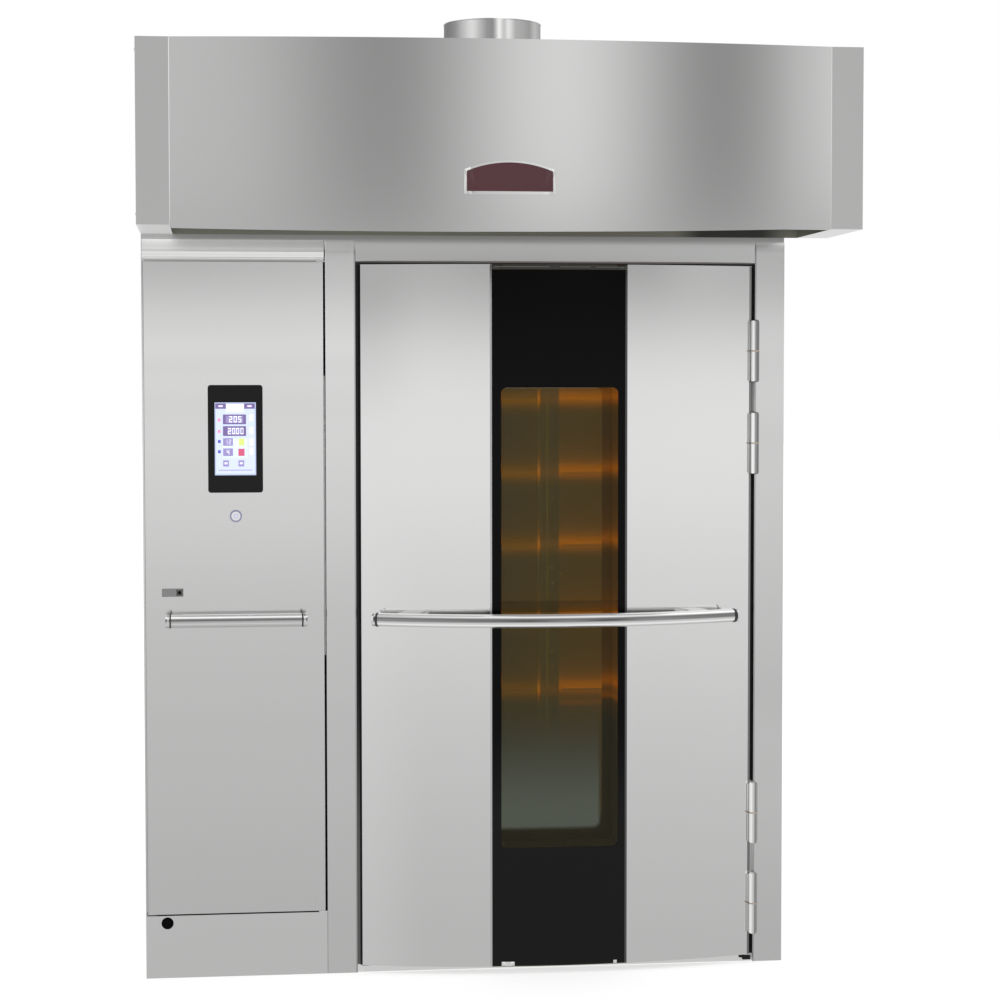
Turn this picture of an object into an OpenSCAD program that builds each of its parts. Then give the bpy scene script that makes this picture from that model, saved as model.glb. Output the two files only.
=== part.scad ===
// Rotating rack oven: a roll-in baking oven for two racks, with a bowed door, a control column and a
// canopy hood.
// Layout frame: X = 0 at the left side, Y = 0 at the front of the posts, Z = 0 on the floor; into the
// oven is +Y.
// place() then puts the origin under the middle of the whole oven, hood included.

/* [Front] */
// Width of the control column, left side to the post beside the doorway
cabinet_w = 511; // [450:1:580]
// Width of the post between the control column and the doorway
centre_post_w = 86; // [70:1:110]
// Clear width between the two door posts
doorway_w = 1145; // [1050:1:1240]
// Width of the post on the hinge side
right_post_w = 87; // [70:1:110]
// Depth of the posts
post_d = 60; // [50:1:80]
// Clear height of the doorway
doorway_h = 2021; // [1950:1:2080]
// Height of the header above the doorway
header_h = 59; // [45:1:75]

/* [Casing] */
// Depth of the casing from the posts' face to the back
body_d = 1575; // [1540:1:1650]
// Height of the casing above the header
upper_h = 220; // [200:1:260]
// Thickness of the outer and inner sheet
sheet = 2; // [1.5:0.5:3]
// Height of the base trays
base_h = 100; // [80:1:120]
// Thickness of the base trays' sheet
tray_t = 4; // [3:0.5:5]
// Thickness of the chamber floor plate
floor_t = 12; // [8:1:16]
// How far the chamber reaches behind each post
chamber_side = 37; // [25:1:45]
// Height of the chamber ceiling above the doorway's top
ceiling_rise = 99; // [79:1:129]
// Depth of the chamber behind the posts, up to the air panel
chamber_d = 1140; // [1120:1:1180]
// Depth of the air space behind the air panel
plenum_d = 200; // [190:1:220]

/* [Oven door] */
// Gap between the door and the post on the handle side
door_gap_left = 13; // [8:1:18]
// Gap between the door and the post on the hinge side
door_gap_right = 11; // [9:1:12]
// Gap between the door and the header
door_gap_top = 9; // [6:1:14]
// Height of the door's lower edge above the floor
door_gap_floor = 22; // [17:1:26]
// How far the door's face bows out at its middle
door_bow = 70; // [50:1:90]
// How far the door's side edges stand out in front of the posts
door_proud = 5; // [3:1:8]
// How far the door's back lies behind the posts' face
door_inset = 40; // [34:1:42]
// Thickness of the door's steel skins
door_skin = 2; // [1.5:0.5:3]
// Distance from the door's handle-side edge to the black glass
glass_from_edge = 365; // [330:1:400]
// Width of the black glass
glass_w = 386; // [365:1:410]
// Thickness of the black glass
glass_t = 6; // [5:1:8]
// Steel edge left below the black glass
glass_foot = 3; // [2:1:10]
// Steel cap left above the black glass
glass_cap = 15; // [8:1:25]
// Width of the window
window_w = 334; // [280:1:345]
// Height of the window
window_h = 1305; // [1200:1:1400]
// Height of the window's lower edge above the floor
window_z = 361; // [300:1:400]
// Corner radius of the window
window_r = 16; // [15:1:40]
// How much smaller the inner window is on each side
window_step = 22; // [14:1:26]
// How far the inner window is shifted towards the handle
window_shift = 8; // [0:1:12]
// How much higher the inner window's lower edge is
window_sill = 65; // [45:1:80]

/* [Door hinges] */
// Radius of the hinge barrels
barrel_r = 11.5; // [10:0.5:12]
// Height of one knuckle
knuckle_h = 85; // [70:1:90]
// Radius of the hinge pins
hinge_pin_r = 6; // [5:0.5:7]
// How far the hinge axis stands out in front of the posts
hinge_forward = 16; // [16:1:20]
// Height of the lowest hinge's middle
hinge_low_z = 174; // [150:1:200]
// Distance from the door's top down to the lower hinge of the upper pair
hinge_top_drop = 506; // [472:1:560]
// Distance between the hinges of a pair
hinge_pair = 264; // [230:1:290]
// Thickness of the hinge leaves
leaf_t = 3.5; // [3:0.5:3.5]

/* [Handles] */
// Diameter of both handle bars
bar_d = 38; // [32:1:42]
// Height of the handles above the floor
handle_z = 1017; // [950:1:1080]
// Distance from the door's edge to the end of its handle
handle_from_edge = 31; // [28:1:60]
// Length of the door handle, end to end
handle_len = 1031; // [980:1:1060]
// How far the door handle bows out at its middle
handle_bow = 104; // [90:1:120]
// How far the handle's ends stand out from the door's edge line
handle_stand = 73; // [65:1:85]
// Distance from the handle's end to the middle of its bracket
bracket_from_end = 105; // [90:1:130]
// Width of a handle bracket
bracket_w = 80; // [60:1:90]
// Height of a handle bracket
bracket_h = 30; // [24:1:34]
// Length of the caps on the handles' ends
cap_len = 9; // [6:1:12]

/* [Control column] */
// Height of the kick panel
kick_h = 177; // [150:1:200]
// Gap around the control door
cab_gap = 4; // [4:1:6]
// Gap at the control door's two upright edges
cab_side_gap = 5; // [5:1:6]
// Height of the trim above the control door
head_trim_h = 58; // [50:1:64]
// Radius of the trim's rounded lower edge
head_trim_r = 24; // [16:1:30]
// Thickness of the control door
cab_door_t = 25; // [22:1:30]
// Radius of the control door's pivot pins
pivot_r = 4; // [3:0.5:4.5]
// Length of the control door's handle
cab_handle_len = 394; // [340:1:420]
// How far the control door's handle stands out
cab_handle_stand = 60; // [52:1:70]
// Diameter of the handle's two posts
cab_post_d = 18; // [14:1:22]
// How far the screen, button and handle stand to the right of the door's middle
fittings_right = 3; // [0:1:6]
// Width of the touch screen's frame
bezel_w = 153; // [130:1:170]
// Height of the touch screen's frame
bezel_h = 302; // [270:1:330]
// Height of the frame's lower edge above the floor
bezel_z = 1372; // [1350:1:1400]
// How far the touch screen's frame stands out
bezel_t = 4; // [3:0.5:6]
// Width of the lit display
display_w = 115; // [100:1:125]
// Height of the lit display
display_h = 204; // [180:1:220]
// Thickness of the display's glass
display_t = 2; // [1.5:0.5:2.5]
// Height of the power button above the floor
button_z = 1306; // [1280:1:1330]
// Radius of the power button
button_r = 12.5; // [10:0.5:14]
// Travel of the power button
button_travel = 2; // [1:0.5:2.5]
// Width of the ring around the power button
button_ring = 3.5; // [2.5:0.5:5]
// Height of the latch plate above the floor
latch_z = 1092; // [1070:1:1110]
// Width of the latch plate
latch_w = 60; // [50:1:70]
// Height of the latch plate
latch_h = 23; // [20:1:28]
// Length of the latch's cam
cam_len = 62; // [58:1:68]

/* [Hood] */
// Width of the hood
hood_w = 1952; // [1900:1:2050]
// Height of the hood
hood_h = 491; // [460:1:520]
// Gap between the header's top and the hood's lower edge
hood_gap = 14; // [8:1:20]
// How far the hood's flat ends stand out
hood_reach = 390; // [370:1:430]
// How far the hood's front bows out between the ends
hood_bow = 55; // [40:1:70]
// Width of the flat end boxes
hood_end_w = 88; // [70:1:110]
// Width of the lip turned in along the hood's lower edge
hood_lip = 22; // [15:1:30]
// Outer radius of the exhaust collar
collar_r = 132; // [110:1:150]
// Height of the exhaust collar above the hood
collar_h = 71; // [60:1:90]
// Distance from the hood's left side to the collar
collar_x = 962; // [900:1:1020]
// Distance from the hood's back to the collar
collar_y = 200; // [190:1:210]

/* [Rack drive] */
// Teeth on the large gear
gear_teeth = 60; // [56:4:64]
// Teeth on the pinion
pinion_teeth = 15; // [14:1:16]
// Tooth size, pitch diameter per tooth
gear_module = 4; // [3.8:0.1:4.2]
// Thickness of both gears
gear_t = 20; // [16:1:24]
// Play between the meshing teeth
backlash = 0.3; // [0.2:0.05:0.5]
// Radius of the carrier shaft
shaft_r = 25; // [22:0.5:28]
// Outer radius of the turning sleeve
sleeve_r = 36; // [34:0.5:40]
// How far the racks are lifted
lift_travel = 40; // [30:1:45]
// Length of the rack rails
rail_len = 760; // [700:1:800]
// Distance between the two rack rails
rail_gap = 560; // [500:1:620]
// Distance from the chamber ceiling down to the foot of the rack rails
rail_drop = 185; // [175:1:195]

/* [Air system] */
// Number of air slots on each side of the duct column
louvre_count = 5; // [4:1:6]
// Distance between air slots
louvre_pitch = 243; // [220:1:260]
// Height of the lowest air slot above the floor
louvre_z = 660; // [600:1:700]
// Height of one air slot
louvre_h = 30; // [20:1:40]
// Length of one air slot
louvre_w = 300; // [250:1:320]
// Distance from the chamber's left wall to the upright duct
column_from_left = 720; // [680:1:740]
// Width of the upright duct
column_w = 58; // [50:1:70]
// Depth of the upright duct
column_d = 45; // [35:1:55]
// Height of a lamp's lens
lamp_h = 150; // [120:1:180]
// Width of a lamp's lens
lamp_w = 70; // [50:1:90]
// Distance from the posts to the lamps
lamp_depth = 140; // [120:1:200]
// Return air slots in the left wall
return_count = 8; // [6:1:9]
// Outer radius of the blower wheel
wheel_r = 150; // [130:1:155]
// Width of the blower wheel
wheel_h = 100; // [80:1:110]
// Number of blades on the blower wheel
blade_count = 24; // [16:1:30]
// Radius of the heat exchanger tubes
hx_tube_r = 20; // [16:1:24]
// Side of the square steam vent
vent_w = 200; // [180:1:220]
// Radius of the flue pipe
flue_r = 60; // [50:1:65]

/* [Hidden] */

steel = [0.72, 0.72, 0.71];
inner_steel = [0.60, 0.58, 0.52];
dark = [0.12, 0.12, 0.13];
black_gloss = [0.05, 0.05, 0.05];
clear_glass = [0.55, 0.45, 0.25, 0.45];
zinc = [0.58, 0.60, 0.62];
motor_grey = [0.35, 0.38, 0.42];
wool = [0.85, 0.75, 0.45];
rubber = [0.10, 0.10, 0.10];
screen = [0.80, 0.88, 0.95];
lamp_glow = [1.0, 0.75, 0.35];

arc_fn = 720;    // roundness of the wide door and hood arcs
round_fn = 96;   // roundness of bars, pipes and holes
run = 0.05;      // radial play of a running fit
seat = 0.3;      // clearance of a soft or curved seat
cut = 1;         // how far a cutting tool runs past a face

// Front layout
post_x0 = cabinet_w;
door_x0 = post_x0 + centre_post_w;
door_x1 = door_x0 + doorway_w;
body_w = door_x1 + right_post_w;
header_top = doorway_h + header_h;
roof_z = header_top + upper_h;
ceiling_z = doorway_h + ceiling_rise;

// Chamber
chamber_x0 = door_x0 - chamber_side;
chamber_x1 = door_x1 + chamber_side;
chamber_y1 = post_d + chamber_d;
plenum_y1 = chamber_y1 + plenum_d;
chamber_cx = (chamber_x0 + chamber_x1) / 2;
chamber_cy = post_d + chamber_d / 2;

// Oven door
leaf_x0 = door_x0 + door_gap_left;
leaf_x1 = door_x1 - door_gap_right;
leaf_w = leaf_x1 - leaf_x0;
leaf_cx = (leaf_x0 + leaf_x1) / 2;
leaf_z0 = door_gap_floor;
leaf_z1 = doorway_h - door_gap_top;
door_arc_r = arc_radius(leaf_w, door_bow);
door_arc_y = door_arc_r - door_proud - door_bow;
glass_x0 = leaf_x0 + glass_from_edge;
glass_x1 = glass_x0 + glass_w;
window_x0 = (glass_x0 + glass_x1 - window_w) / 2;
liner_t = sheet;
inner_glass_t = 5;
core_y1 = door_inset - liner_t;

// Door hinges: the axis runs in front of the gap beside the door
hinge_x = door_x1 - sheet;
hinge_y = -hinge_forward;
hinge_high_z = leaf_z1 - hinge_top_drop;
hinge_zs = [hinge_low_z, hinge_low_z + hinge_pair, hinge_high_z, hinge_high_z + hinge_pair];

// Door handle
bar_r = bar_d / 2;
handle_x0 = leaf_x0 + handle_from_edge;
handle_cx = handle_x0 + handle_len / 2;
handle_end_y = -door_proud - handle_stand;
handle_chord = handle_len - 2 * cap_len;
handle_arc_r = arc_radius(handle_chord, handle_bow);
handle_arc_y = handle_end_y - handle_bow + handle_arc_r;
handle_half_angle = asin(handle_chord / 2 / handle_arc_r);

// Control column
cab_x0 = cab_side_gap;
cab_x1 = cabinet_w - cab_side_gap;
cab_z0 = kick_h + cab_gap;
trim_z0 = header_top - head_trim_h;
cab_z1 = trim_z0 - cab_gap;
fittings_x = (cab_x0 + cab_x1) / 2 + fittings_right;
pivot_x = cab_x1 - 7;
pivot_y = 8;
pivot_plate = cab_gap - 2 * 0.75;
cam_x = cab_x0 + 95;
stop_flange = 30;
header_lap = 10;
flange_y = cab_door_t + 3;

// Hood
hood_z0 = header_top + hood_gap;
hood_z1 = hood_z0 + hood_h;
hood_front = hood_reach + hood_bow;
hood_arc_w = hood_w - 2 * hood_end_w;
hood_arc_r = arc_radius(hood_arc_w, hood_bow);
hood_arc_y = hood_arc_r - hood_front;

// Rack drive on the roof
gear_r = gear_module * gear_teeth / 2;
pinion_r = gear_module * pinion_teeth / 2;
pinion_y = chamber_cy + gear_r + pinion_r;
bearing_h = 88;
bearing_flange_r = 110;
bearing_flange_t = 14;
bolt_hole_r = 5.5;
pinion_shaft_r = 12;
pinion_drop = 50;
gear_z = roof_z + bearing_h + 5;
sleeve_z0 = roof_z + 12;
sleeve_z1 = gear_z + gear_t + 12;
shaft_top = sleeve_z1 + 40;
bridge_z = shaft_top + lift_travel + 15;
bridge_t = 10;
bridge_x = gear_r + 50;
actuator_h = 75;
rail_z = ceiling_z - rail_drop;
rod_r = 10;

// Air slots, duct and lamps in the chamber
column_x0 = chamber_x0 + column_from_left;
column_x1 = column_x0 + column_w;
louvre_xs = [column_x0 - 20 - louvre_w, column_x1 + 20];
lamp_y = post_d + lamp_depth;

// Air system in the space behind the control column
bay_x1 = chamber_x0 - sheet;
blower_x = cabinet_w / 2;
blower_y = 1130;
blower_drop = 335;
wheel_z = roof_z - blower_drop;
scroll_gap = 15;
scroll_growth = 55;
scroll_z0 = wheel_z - 12;
scroll_z1 = wheel_z + wheel_h + 14;
scroll_r0 = wheel_r + scroll_gap;
scroll_r1 = scroll_r0 + scroll_growth;
throat_y0 = blower_y + scroll_r0;
throat_y1 = blower_y + scroll_r1;
blower_shaft_r = 12;
motor_r = 85;
vent_x0 = 1450;
vent_y0 = 60;
damper_y = vent_y0 + vent_w / 2 + sheet;
damper_z = roof_z + vent_w / 2 - 15;
vent_top = damper_z + vent_w / 2 + 5;
damper_shaft_r = 6;
return_y0 = 700;
return_y1 = 1080;
flue_x = hood_end_w + flue_r + 7;
flue_y = 420;
flue_top = roof_z + 130;
flue_bend = 80;
hx_low = [60, 720, 560];
hx_size = [390, 560, 80];
hx_rise = 940;
hx_wall = 3;
hx_high = hx_low + [0, 0, hx_rise];
electric_size = [190, 290, 800];
electric_drop = 600;
flame_x0 = hx_low.x + 90;
flame_x1 = hx_low.x + hx_size.x - 90;
flame_z0 = hx_low.z + 12;
flame_z1 = hx_low.z + hx_size.z - 12;

function arc_radius(chord, rise) = (chord * chord / 4 + rise * rise) / (2 * rise);
function involute_lag(angle) = tan(angle) * 180 / PI - angle;
function polar(r, a) = [r * cos(a), r * sin(a)];

// Puts the origin under the middle of the whole oven
module place() {
    translate([-hood_w / 2, (hood_front - body_d) / 2, 0]) children();
}

module block(low, high) {
    translate(low) cube(high - low);
}

// Plan outline run upwards
module upright(z0, z1) {
    translate([0, 0, z0]) linear_extrude(z1 - z0) children();
}

// Front outline (width, height) run into the oven
module facing(y0, y1) {
    translate([0, y1, 0]) rotate([90, 0, 0]) linear_extrude(y1 - y0) children();
}

// Side outline (depth, height) run across the oven
module across(x0, x1) {
    translate([x0, 0, 0]) rotate([90, 0, 90]) linear_extrude(x1 - x0) children();
}

module rounded(low, high, r) {
    translate([low.x + r, low.y]) square([high.x - low.x - 2 * r, high.y - low.y]);
    translate([low.x, low.y + r]) square([high.x - low.x, high.y - low.y - 2 * r]);
    for (x = [low.x + r, high.x - r], y = [low.y + r, high.y - r])
        translate([x, y]) circle(r, $fn = 48);
}

module rod_y(x, z, r, y0, y1) {
    translate([x, y0, z]) rotate([-90, 0, 0]) cylinder(r = r, h = y1 - y0, $fn = round_fn);
}

module rod_x(y, z, r, x0, x1) {
    translate([x0, y, z]) rotate([0, 90, 0]) cylinder(r = r, h = x1 - x0, $fn = round_fn);
}

module rod_z(x, y, r, z0, z1) {
    translate([x, y, z0]) cylinder(r = r, h = z1 - z0, $fn = round_fn);
}

// ---- Casing ----

// Folded tray, open underneath
module base_tray(low, high) {
    difference() {
        block([low.x, low.y, 0], [high.x, high.y, base_h]);
        block([low.x + tray_t, low.y + tray_t, -cut], [high.x - tray_t, high.y - tray_t, base_h - tray_t]);
    }
}

module base_frame() {
    color(zinc) {
        base_tray([sheet, post_d], [post_x0, body_d - sheet]);
        base_tray([chamber_x1 + sheet, post_d], [body_w - sheet, body_d - sheet]);
        base_tray([post_x0, plenum_y1 + sheet], [chamber_x1 + sheet, body_d - sheet]);
    }
}

module chamber_floor() {
    ramp = 30;
    color(inner_steel) {
        block([chamber_x0, post_d, 0], [chamber_x1, plenum_y1, floor_t]);
        across(door_x0, door_x1)
            polygon([[0, 0], [post_d, 0], [post_d, floor_t], [ramp, floor_t], [0, sheet]]);
    }
}

module left_side_panel() {
    color(steel) {
        block([0, 0, 0], [sheet, body_d, roof_z]);
        block([0, flange_y, kick_h], [stop_flange, flange_y + sheet, trim_z0]);
    }
}

module right_side_panel() {
    color(steel) block([body_w - sheet, post_d, 0], [body_w, body_d, roof_z]);
}

module back_panel() {
    color(steel) block([sheet, body_d - sheet, 0], [body_w - sheet, body_d, roof_z - sheet]);
}

module vent_plan(inset) {
    translate([vent_x0 + inset, vent_y0 + inset]) square(vent_w + 2 * sheet - 2 * inset);
}

module roof_panel() {
    color(steel) difference() {
        block([sheet, 0, roof_z - sheet], [body_w - sheet, body_d, roof_z]);
        rod_z(chamber_cx, chamber_cy, sleeve_r + 14, roof_z - sheet - cut, roof_z + cut);
        rod_z(blower_x, blower_y, blower_shaft_r + 6, roof_z - sheet - cut, roof_z + cut);
        rod_z(flue_x, flue_y, flue_r + seat, roof_z - sheet - cut, roof_z + cut);
        upright(roof_z - sheet - cut, roof_z + cut) vent_plan(0);
    }
}

module cabinet_partition() {
    color(steel) difference() {
        block([post_x0, post_d, base_h], [post_x0 + sheet, body_d - sheet, roof_z - sheet]);
        block([post_x0 - cut, throat_y0 - sheet, scroll_z0 - sheet],
              [post_x0 + sheet + cut, throat_y1 + sheet, scroll_z1 + sheet]);
    }
}

module kick_panel() {
    hole_x = 60;
    hole_r = 17;
    color(steel) difference() {
        block([sheet, 0, 0], [post_x0, stop_flange, kick_h]);
        block([sheet - cut, sheet, -cut], [post_x0 - sheet, stop_flange + cut, kick_h - sheet]);
        rod_y(hole_x, kick_h - 21, hole_r, -cut, sheet + cut);
    }
}

module cabinet_head_trim() {
    color(steel) across(sheet, post_x0 - 3) difference() {
        union() {
            translate([0, trim_z0 + head_trim_r]) square([post_d, head_trim_h - head_trim_r]);
            translate([head_trim_r, trim_z0]) square([post_d - head_trim_r, head_trim_r]);
            translate([head_trim_r, trim_z0 + head_trim_r]) circle(head_trim_r, $fn = round_fn);
        }
        translate([head_trim_r, trim_z0 + head_trim_r])
            square([post_d, head_trim_h - head_trim_r - sheet]);
    }
}

module post(x0, x1) {
    color(steel) upright(0, header_top) difference() {
        rounded([x0, 0], [x1, post_d], 3);
        rounded([x0 + sheet, sheet], [x1 - sheet, post_d - sheet], 1.5);
    }
}

module centre_post() {
    post(post_x0, door_x0);
}

module right_post() {
    post(door_x1, body_w);
}

module door_header() {
    color(steel) {
        across(door_x0, door_x1) difference() {
            union() {
                rounded([0, doorway_h], [post_d, header_top], 3);
                translate([0, header_top - header_lap]) square([post_d, header_lap]);
            }
            rounded([sheet, doorway_h + sheet], [post_d - sheet, header_top - sheet], 1.5);
        }
        block([sheet, 0, header_top], [body_w - sheet, sheet, roof_z - sheet]);
        block([door_x0, 0, header_top - header_lap], [door_x1, sheet, roof_z - sheet]);
    }
}

// Frame inside the doorway that the door closes against
module jamb_outline(inset) {
    translate([door_x0, floor_t]) square([inset, doorway_h - floor_t]);
    translate([door_x1 - inset, floor_t]) square([inset, doorway_h - floor_t]);
    translate([door_x0, doorway_h - inset]) square([doorway_w, inset]);
}

module door_jamb() {
    color(inner_steel) facing(door_inset + 10, post_d) jamb_outline(30);
}

module door_gasket() {
    color(rubber) facing(door_inset + seat, door_inset + 10) difference() {
        jamb_outline(26);
        jamb_outline(10);
    }
}

// ---- Chamber ----

module chamber_left_wall() {
    slot_z = 120;
    slot_h = 20;
    color(inner_steel) difference() {
        block([chamber_x0 - sheet, post_d, floor_t], [chamber_x0, plenum_y1, ceiling_z]);
        block([chamber_x0 - sheet - cut, throat_y0, scroll_z0], [chamber_x0 + cut, throat_y1, scroll_z1]);
        for (z = [slot_z:2 * slot_h:slot_z + 2 * slot_h * (return_count - 1)])
            block([chamber_x0 - sheet - cut, return_y0, z], [chamber_x0 + cut, return_y1, z + slot_h]);
    }
}

module lamp_openings(grow) {
    for (i = [0:louvre_count - 1])
        across(chamber_x1 - 20, chamber_x1 + 20)
            rounded([lamp_y - grow, louvre_z + i * louvre_pitch - lamp_h / 2 - grow],
                    [lamp_y + lamp_w + grow, louvre_z + i * louvre_pitch + lamp_h / 2 + grow], 12 + grow);
}

module chamber_right_wall() {
    color(inner_steel) difference() {
        block([chamber_x1, post_d, floor_t], [chamber_x1 + sheet, plenum_y1, ceiling_z]);
        lamp_openings(0);
    }
}

module lamp_lenses() {
    color(lamp_glow) intersection() {
        lamp_openings(0);
        block([chamber_x1 - 6, post_d, 0], [chamber_x1 + sheet, plenum_y1, ceiling_z]);
    }
}

module chamber_ceiling() {
    color(inner_steel) difference() {
        block([chamber_x0 - sheet, post_d, ceiling_z],
              [chamber_x1 + sheet, plenum_y1 + sheet, ceiling_z + sheet]);
        rod_z(chamber_cx, chamber_cy, shaft_r + 6, ceiling_z - cut, ceiling_z + sheet + cut);
        upright(ceiling_z - cut, ceiling_z + sheet + cut) vent_plan(0);
    }
}

// Air panel with slots, each under a sloping lip, closed behind as a flat duct
module louvre_slots() {
    for (i = [0:louvre_count - 1], x = louvre_xs)
        block([x, chamber_y1 - cut, louvre_z + i * louvre_pitch - louvre_h / 2],
              [x + louvre_w, chamber_y1 + sheet + cut, louvre_z + i * louvre_pitch + louvre_h / 2]);
}

module rear_air_box() {
    lip = 22;
    color(inner_steel) {
        difference() {
            block([chamber_x0, chamber_y1, floor_t], [chamber_x1, plenum_y1, ceiling_z]);
            block([chamber_x0 - cut, chamber_y1 + sheet, floor_t + sheet],
                  [chamber_x1 + cut, plenum_y1 - sheet, ceiling_z - sheet]);
            louvre_slots();
        }
        for (i = [0:louvre_count - 1], x = louvre_xs)
            across(x, x + louvre_w) translate([chamber_y1, louvre_z + i * louvre_pitch + louvre_h / 2])
                polygon([[0, 0], [-lip, -lip], [-lip, -lip + 2 * sheet], [0, 2 * sheet]]);
    }
}

module air_duct_column() {
    color(inner_steel) upright(floor_t, ceiling_z) difference() {
        translate([column_x0, chamber_y1 - column_d]) square([column_x1 - column_x0, column_d]);
        translate([column_x0 + sheet, chamber_y1 - column_d + sheet])
            square([column_x1 - column_x0 - 2 * sheet, column_d]);
    }
}

module insulation() {
    color(wool) {
        difference() {
            block([post_x0 + sheet, post_d, base_h], [bay_x1, plenum_y1 + sheet, ceiling_z]);
            block([post_x0, throat_y0 - sheet, scroll_z0 - sheet],
                  [bay_x1 + cut, throat_y1 + sheet, scroll_z1 + sheet]);
        }
        difference() {
            block([chamber_x1 + sheet, post_d, base_h], [body_w - sheet, plenum_y1 + sheet, ceiling_z]);
            lamp_openings(0);
        }
        block([post_x0 + sheet, plenum_y1 + sheet, base_h],
              [body_w - sheet, body_d - sheet, ceiling_z + sheet]);
        difference() {
            block([post_x0 + sheet, post_d, ceiling_z + sheet],
                  [body_w - sheet, plenum_y1 + sheet, roof_z - sheet]);
            rod_z(chamber_cx, chamber_cy, shaft_r + 14, ceiling_z, roof_z);
            upright(ceiling_z, roof_z) vent_plan(0);
        }
    }
}

// ---- Oven door ----

module door_arc(inset) {
    translate([leaf_cx, door_arc_y]) circle(door_arc_r - inset, $fn = arc_fn);
}

// Plan of a door layer between two depths under the bowed face
module door_layer(x0, x1, out_inset, in_inset) {
    intersection() {
        difference() {
            door_arc(out_inset);
            door_arc(in_inset);
        }
        translate([x0, -hood_front]) square([x1 - x0, hood_front + core_y1]);
    }
}

module door_skin_plan(x0, x1, edge_x) {
    door_layer(x0, x1, 0, door_skin);
    intersection() {
        door_arc(0);
        translate([edge_x, -door_bow]) square([door_skin, door_bow + core_y1]);
    }
}

module door_left_skin() {
    color(steel) upright(leaf_z0, leaf_z1) door_skin_plan(leaf_x0, glass_x0, leaf_x0);
}

module door_right_skin() {
    color(steel) upright(leaf_z0, leaf_z1) door_skin_plan(glass_x1, leaf_x1, leaf_x1 - door_skin);
}

module window_outline(step, sill) {
    shift = step > 0 ? window_shift : 0;
    rounded([window_x0 + step - shift, window_z + sill],
        [window_x0 + window_w - step - shift, window_z + window_h], window_r);
}

module glass_column_plan(out_inset, in_inset) {
    door_layer(glass_x0, glass_x1, out_inset, in_inset);
}

module door_core() {
    color(steel) difference() {
        union() {
            upright(leaf_z0, leaf_z1) intersection() {
                door_arc(door_skin);
                translate([leaf_x0 + door_skin, -hood_front])
                    square([leaf_w - 2 * door_skin, hood_front + core_y1]);
            }
            for (z = [[leaf_z0, leaf_z0 + glass_foot], [leaf_z1 - glass_cap, leaf_z1]])
                upright(z[0], z[1]) glass_column_plan(0, door_skin);
        }
        upright(leaf_z0 + glass_foot, leaf_z1 - glass_cap) glass_column_plan(-cut, glass_t);
        facing(-hood_front, core_y1 + cut) window_outline(0, 0);
    }
}

module door_black_glass() {
    color(black_gloss) difference() {
        upright(leaf_z0 + glass_foot, leaf_z1 - glass_cap) glass_column_plan(0, glass_t);
        facing(-hood_front, 0) window_outline(0, 0);
    }
}

module door_window_glass() {
    color(clear_glass) intersection() {
        upright(leaf_z0 + glass_foot, leaf_z1 - glass_cap) glass_column_plan(0, glass_t);
        facing(-hood_front, 0) window_outline(0, 0);
    }
}

module door_liner() {
    color(inner_steel) facing(core_y1, door_inset) difference() {
        translate([leaf_x0, leaf_z0]) square([leaf_w, leaf_z1 - leaf_z0]);
        window_outline(window_step, window_sill);
    }
}

module door_inner_glass() {
    color(clear_glass) facing(core_y1 - inner_glass_t, core_y1) difference() {
        window_outline(0, 0);
    }
}

module door_sweep() {
    color(rubber) block([leaf_x0 + sheet, core_y1 - 12, floor_t + 1],
                        [leaf_x1 - 3 * sheet, core_y1, leaf_z0]);
}

// Bowed bar: a ring segment between two straight caps
module handle_arc(r, extra) {
    translate([handle_cx, handle_arc_y, handle_z])
        rotate([0, 0, 270 - handle_half_angle - extra])
            rotate_extrude(angle = 2 * (handle_half_angle + extra), $fn = arc_fn)
                translate([handle_arc_r, 0]) circle(r, $fn = round_fn);
}

module door_handle_bar() {
    groove = 3;
    color(steel) {
        handle_arc(bar_r, 0);
        for (side = [-1, 1])
            translate([handle_cx, handle_arc_y, handle_z]) rotate([0, 0, 270 + side * handle_half_angle])
                translate([handle_arc_r, 0, 0]) rotate([-90 * side, 0, 0]) {
                    translate([0, 0, -groove]) cylinder(r = bar_r - groove, h = 3 * groove, $fn = round_fn);
                    translate([0, 0, groove]) cylinder(r = bar_r, h = cap_len - groove, $fn = round_fn);
                }
    }
}

module door_handle_brackets() {
    color(steel) difference() {
        for (x = [handle_x0 + bracket_from_end, handle_x0 + handle_len - bracket_from_end])
            facing(handle_end_y - handle_bow, 0)
                rounded([x - bracket_w / 2, handle_z - bracket_h / 2],
                        [x + bracket_w / 2, handle_z + bracket_h / 2], bracket_h / 2 - 1);
        upright(0, 2 * handle_z) door_arc(0);
        upright(0, 2 * handle_z) difference() {
            translate([handle_x0 - cut, -2 * hood_front]) square([handle_len + 2 * cut, 2 * hood_front]);
            translate([handle_cx, handle_arc_y]) circle(handle_arc_r, $fn = arc_fn);
        }
        handle_arc(bar_r, 0);
    }
}

// Lift-off hinges: lower knuckle and pin on the frame, upper knuckle on the door
module hinge_leaf(x0, z0, z1, depth, mid, own_low) {
    block([x0, hinge_y + barrel_r + 0.5, z0], [x0 + leaf_t, depth, z1]);
    block([x0, hinge_y, own_low ? z0 : mid], [x0 + leaf_t, hinge_y + barrel_r + 1, own_low ? mid : z1]);
}

module hinge_frame_halves() {
    color(steel) for (z = hinge_zs) {
        difference() {
            union() {
                rod_z(hinge_x, hinge_y, barrel_r, z - knuckle_h, z - seat);
                hinge_leaf(door_x1 - leaf_t, z - knuckle_h, z + knuckle_h, post_d - 12, z - seat, true);
            }
            rod_z(hinge_x, hinge_y, hinge_pin_r, z - knuckle_h / 2, z + cut);
        }
        rod_z(hinge_x, hinge_y, hinge_pin_r, z - knuckle_h / 2, z + knuckle_h / 2);
    }
}

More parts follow.
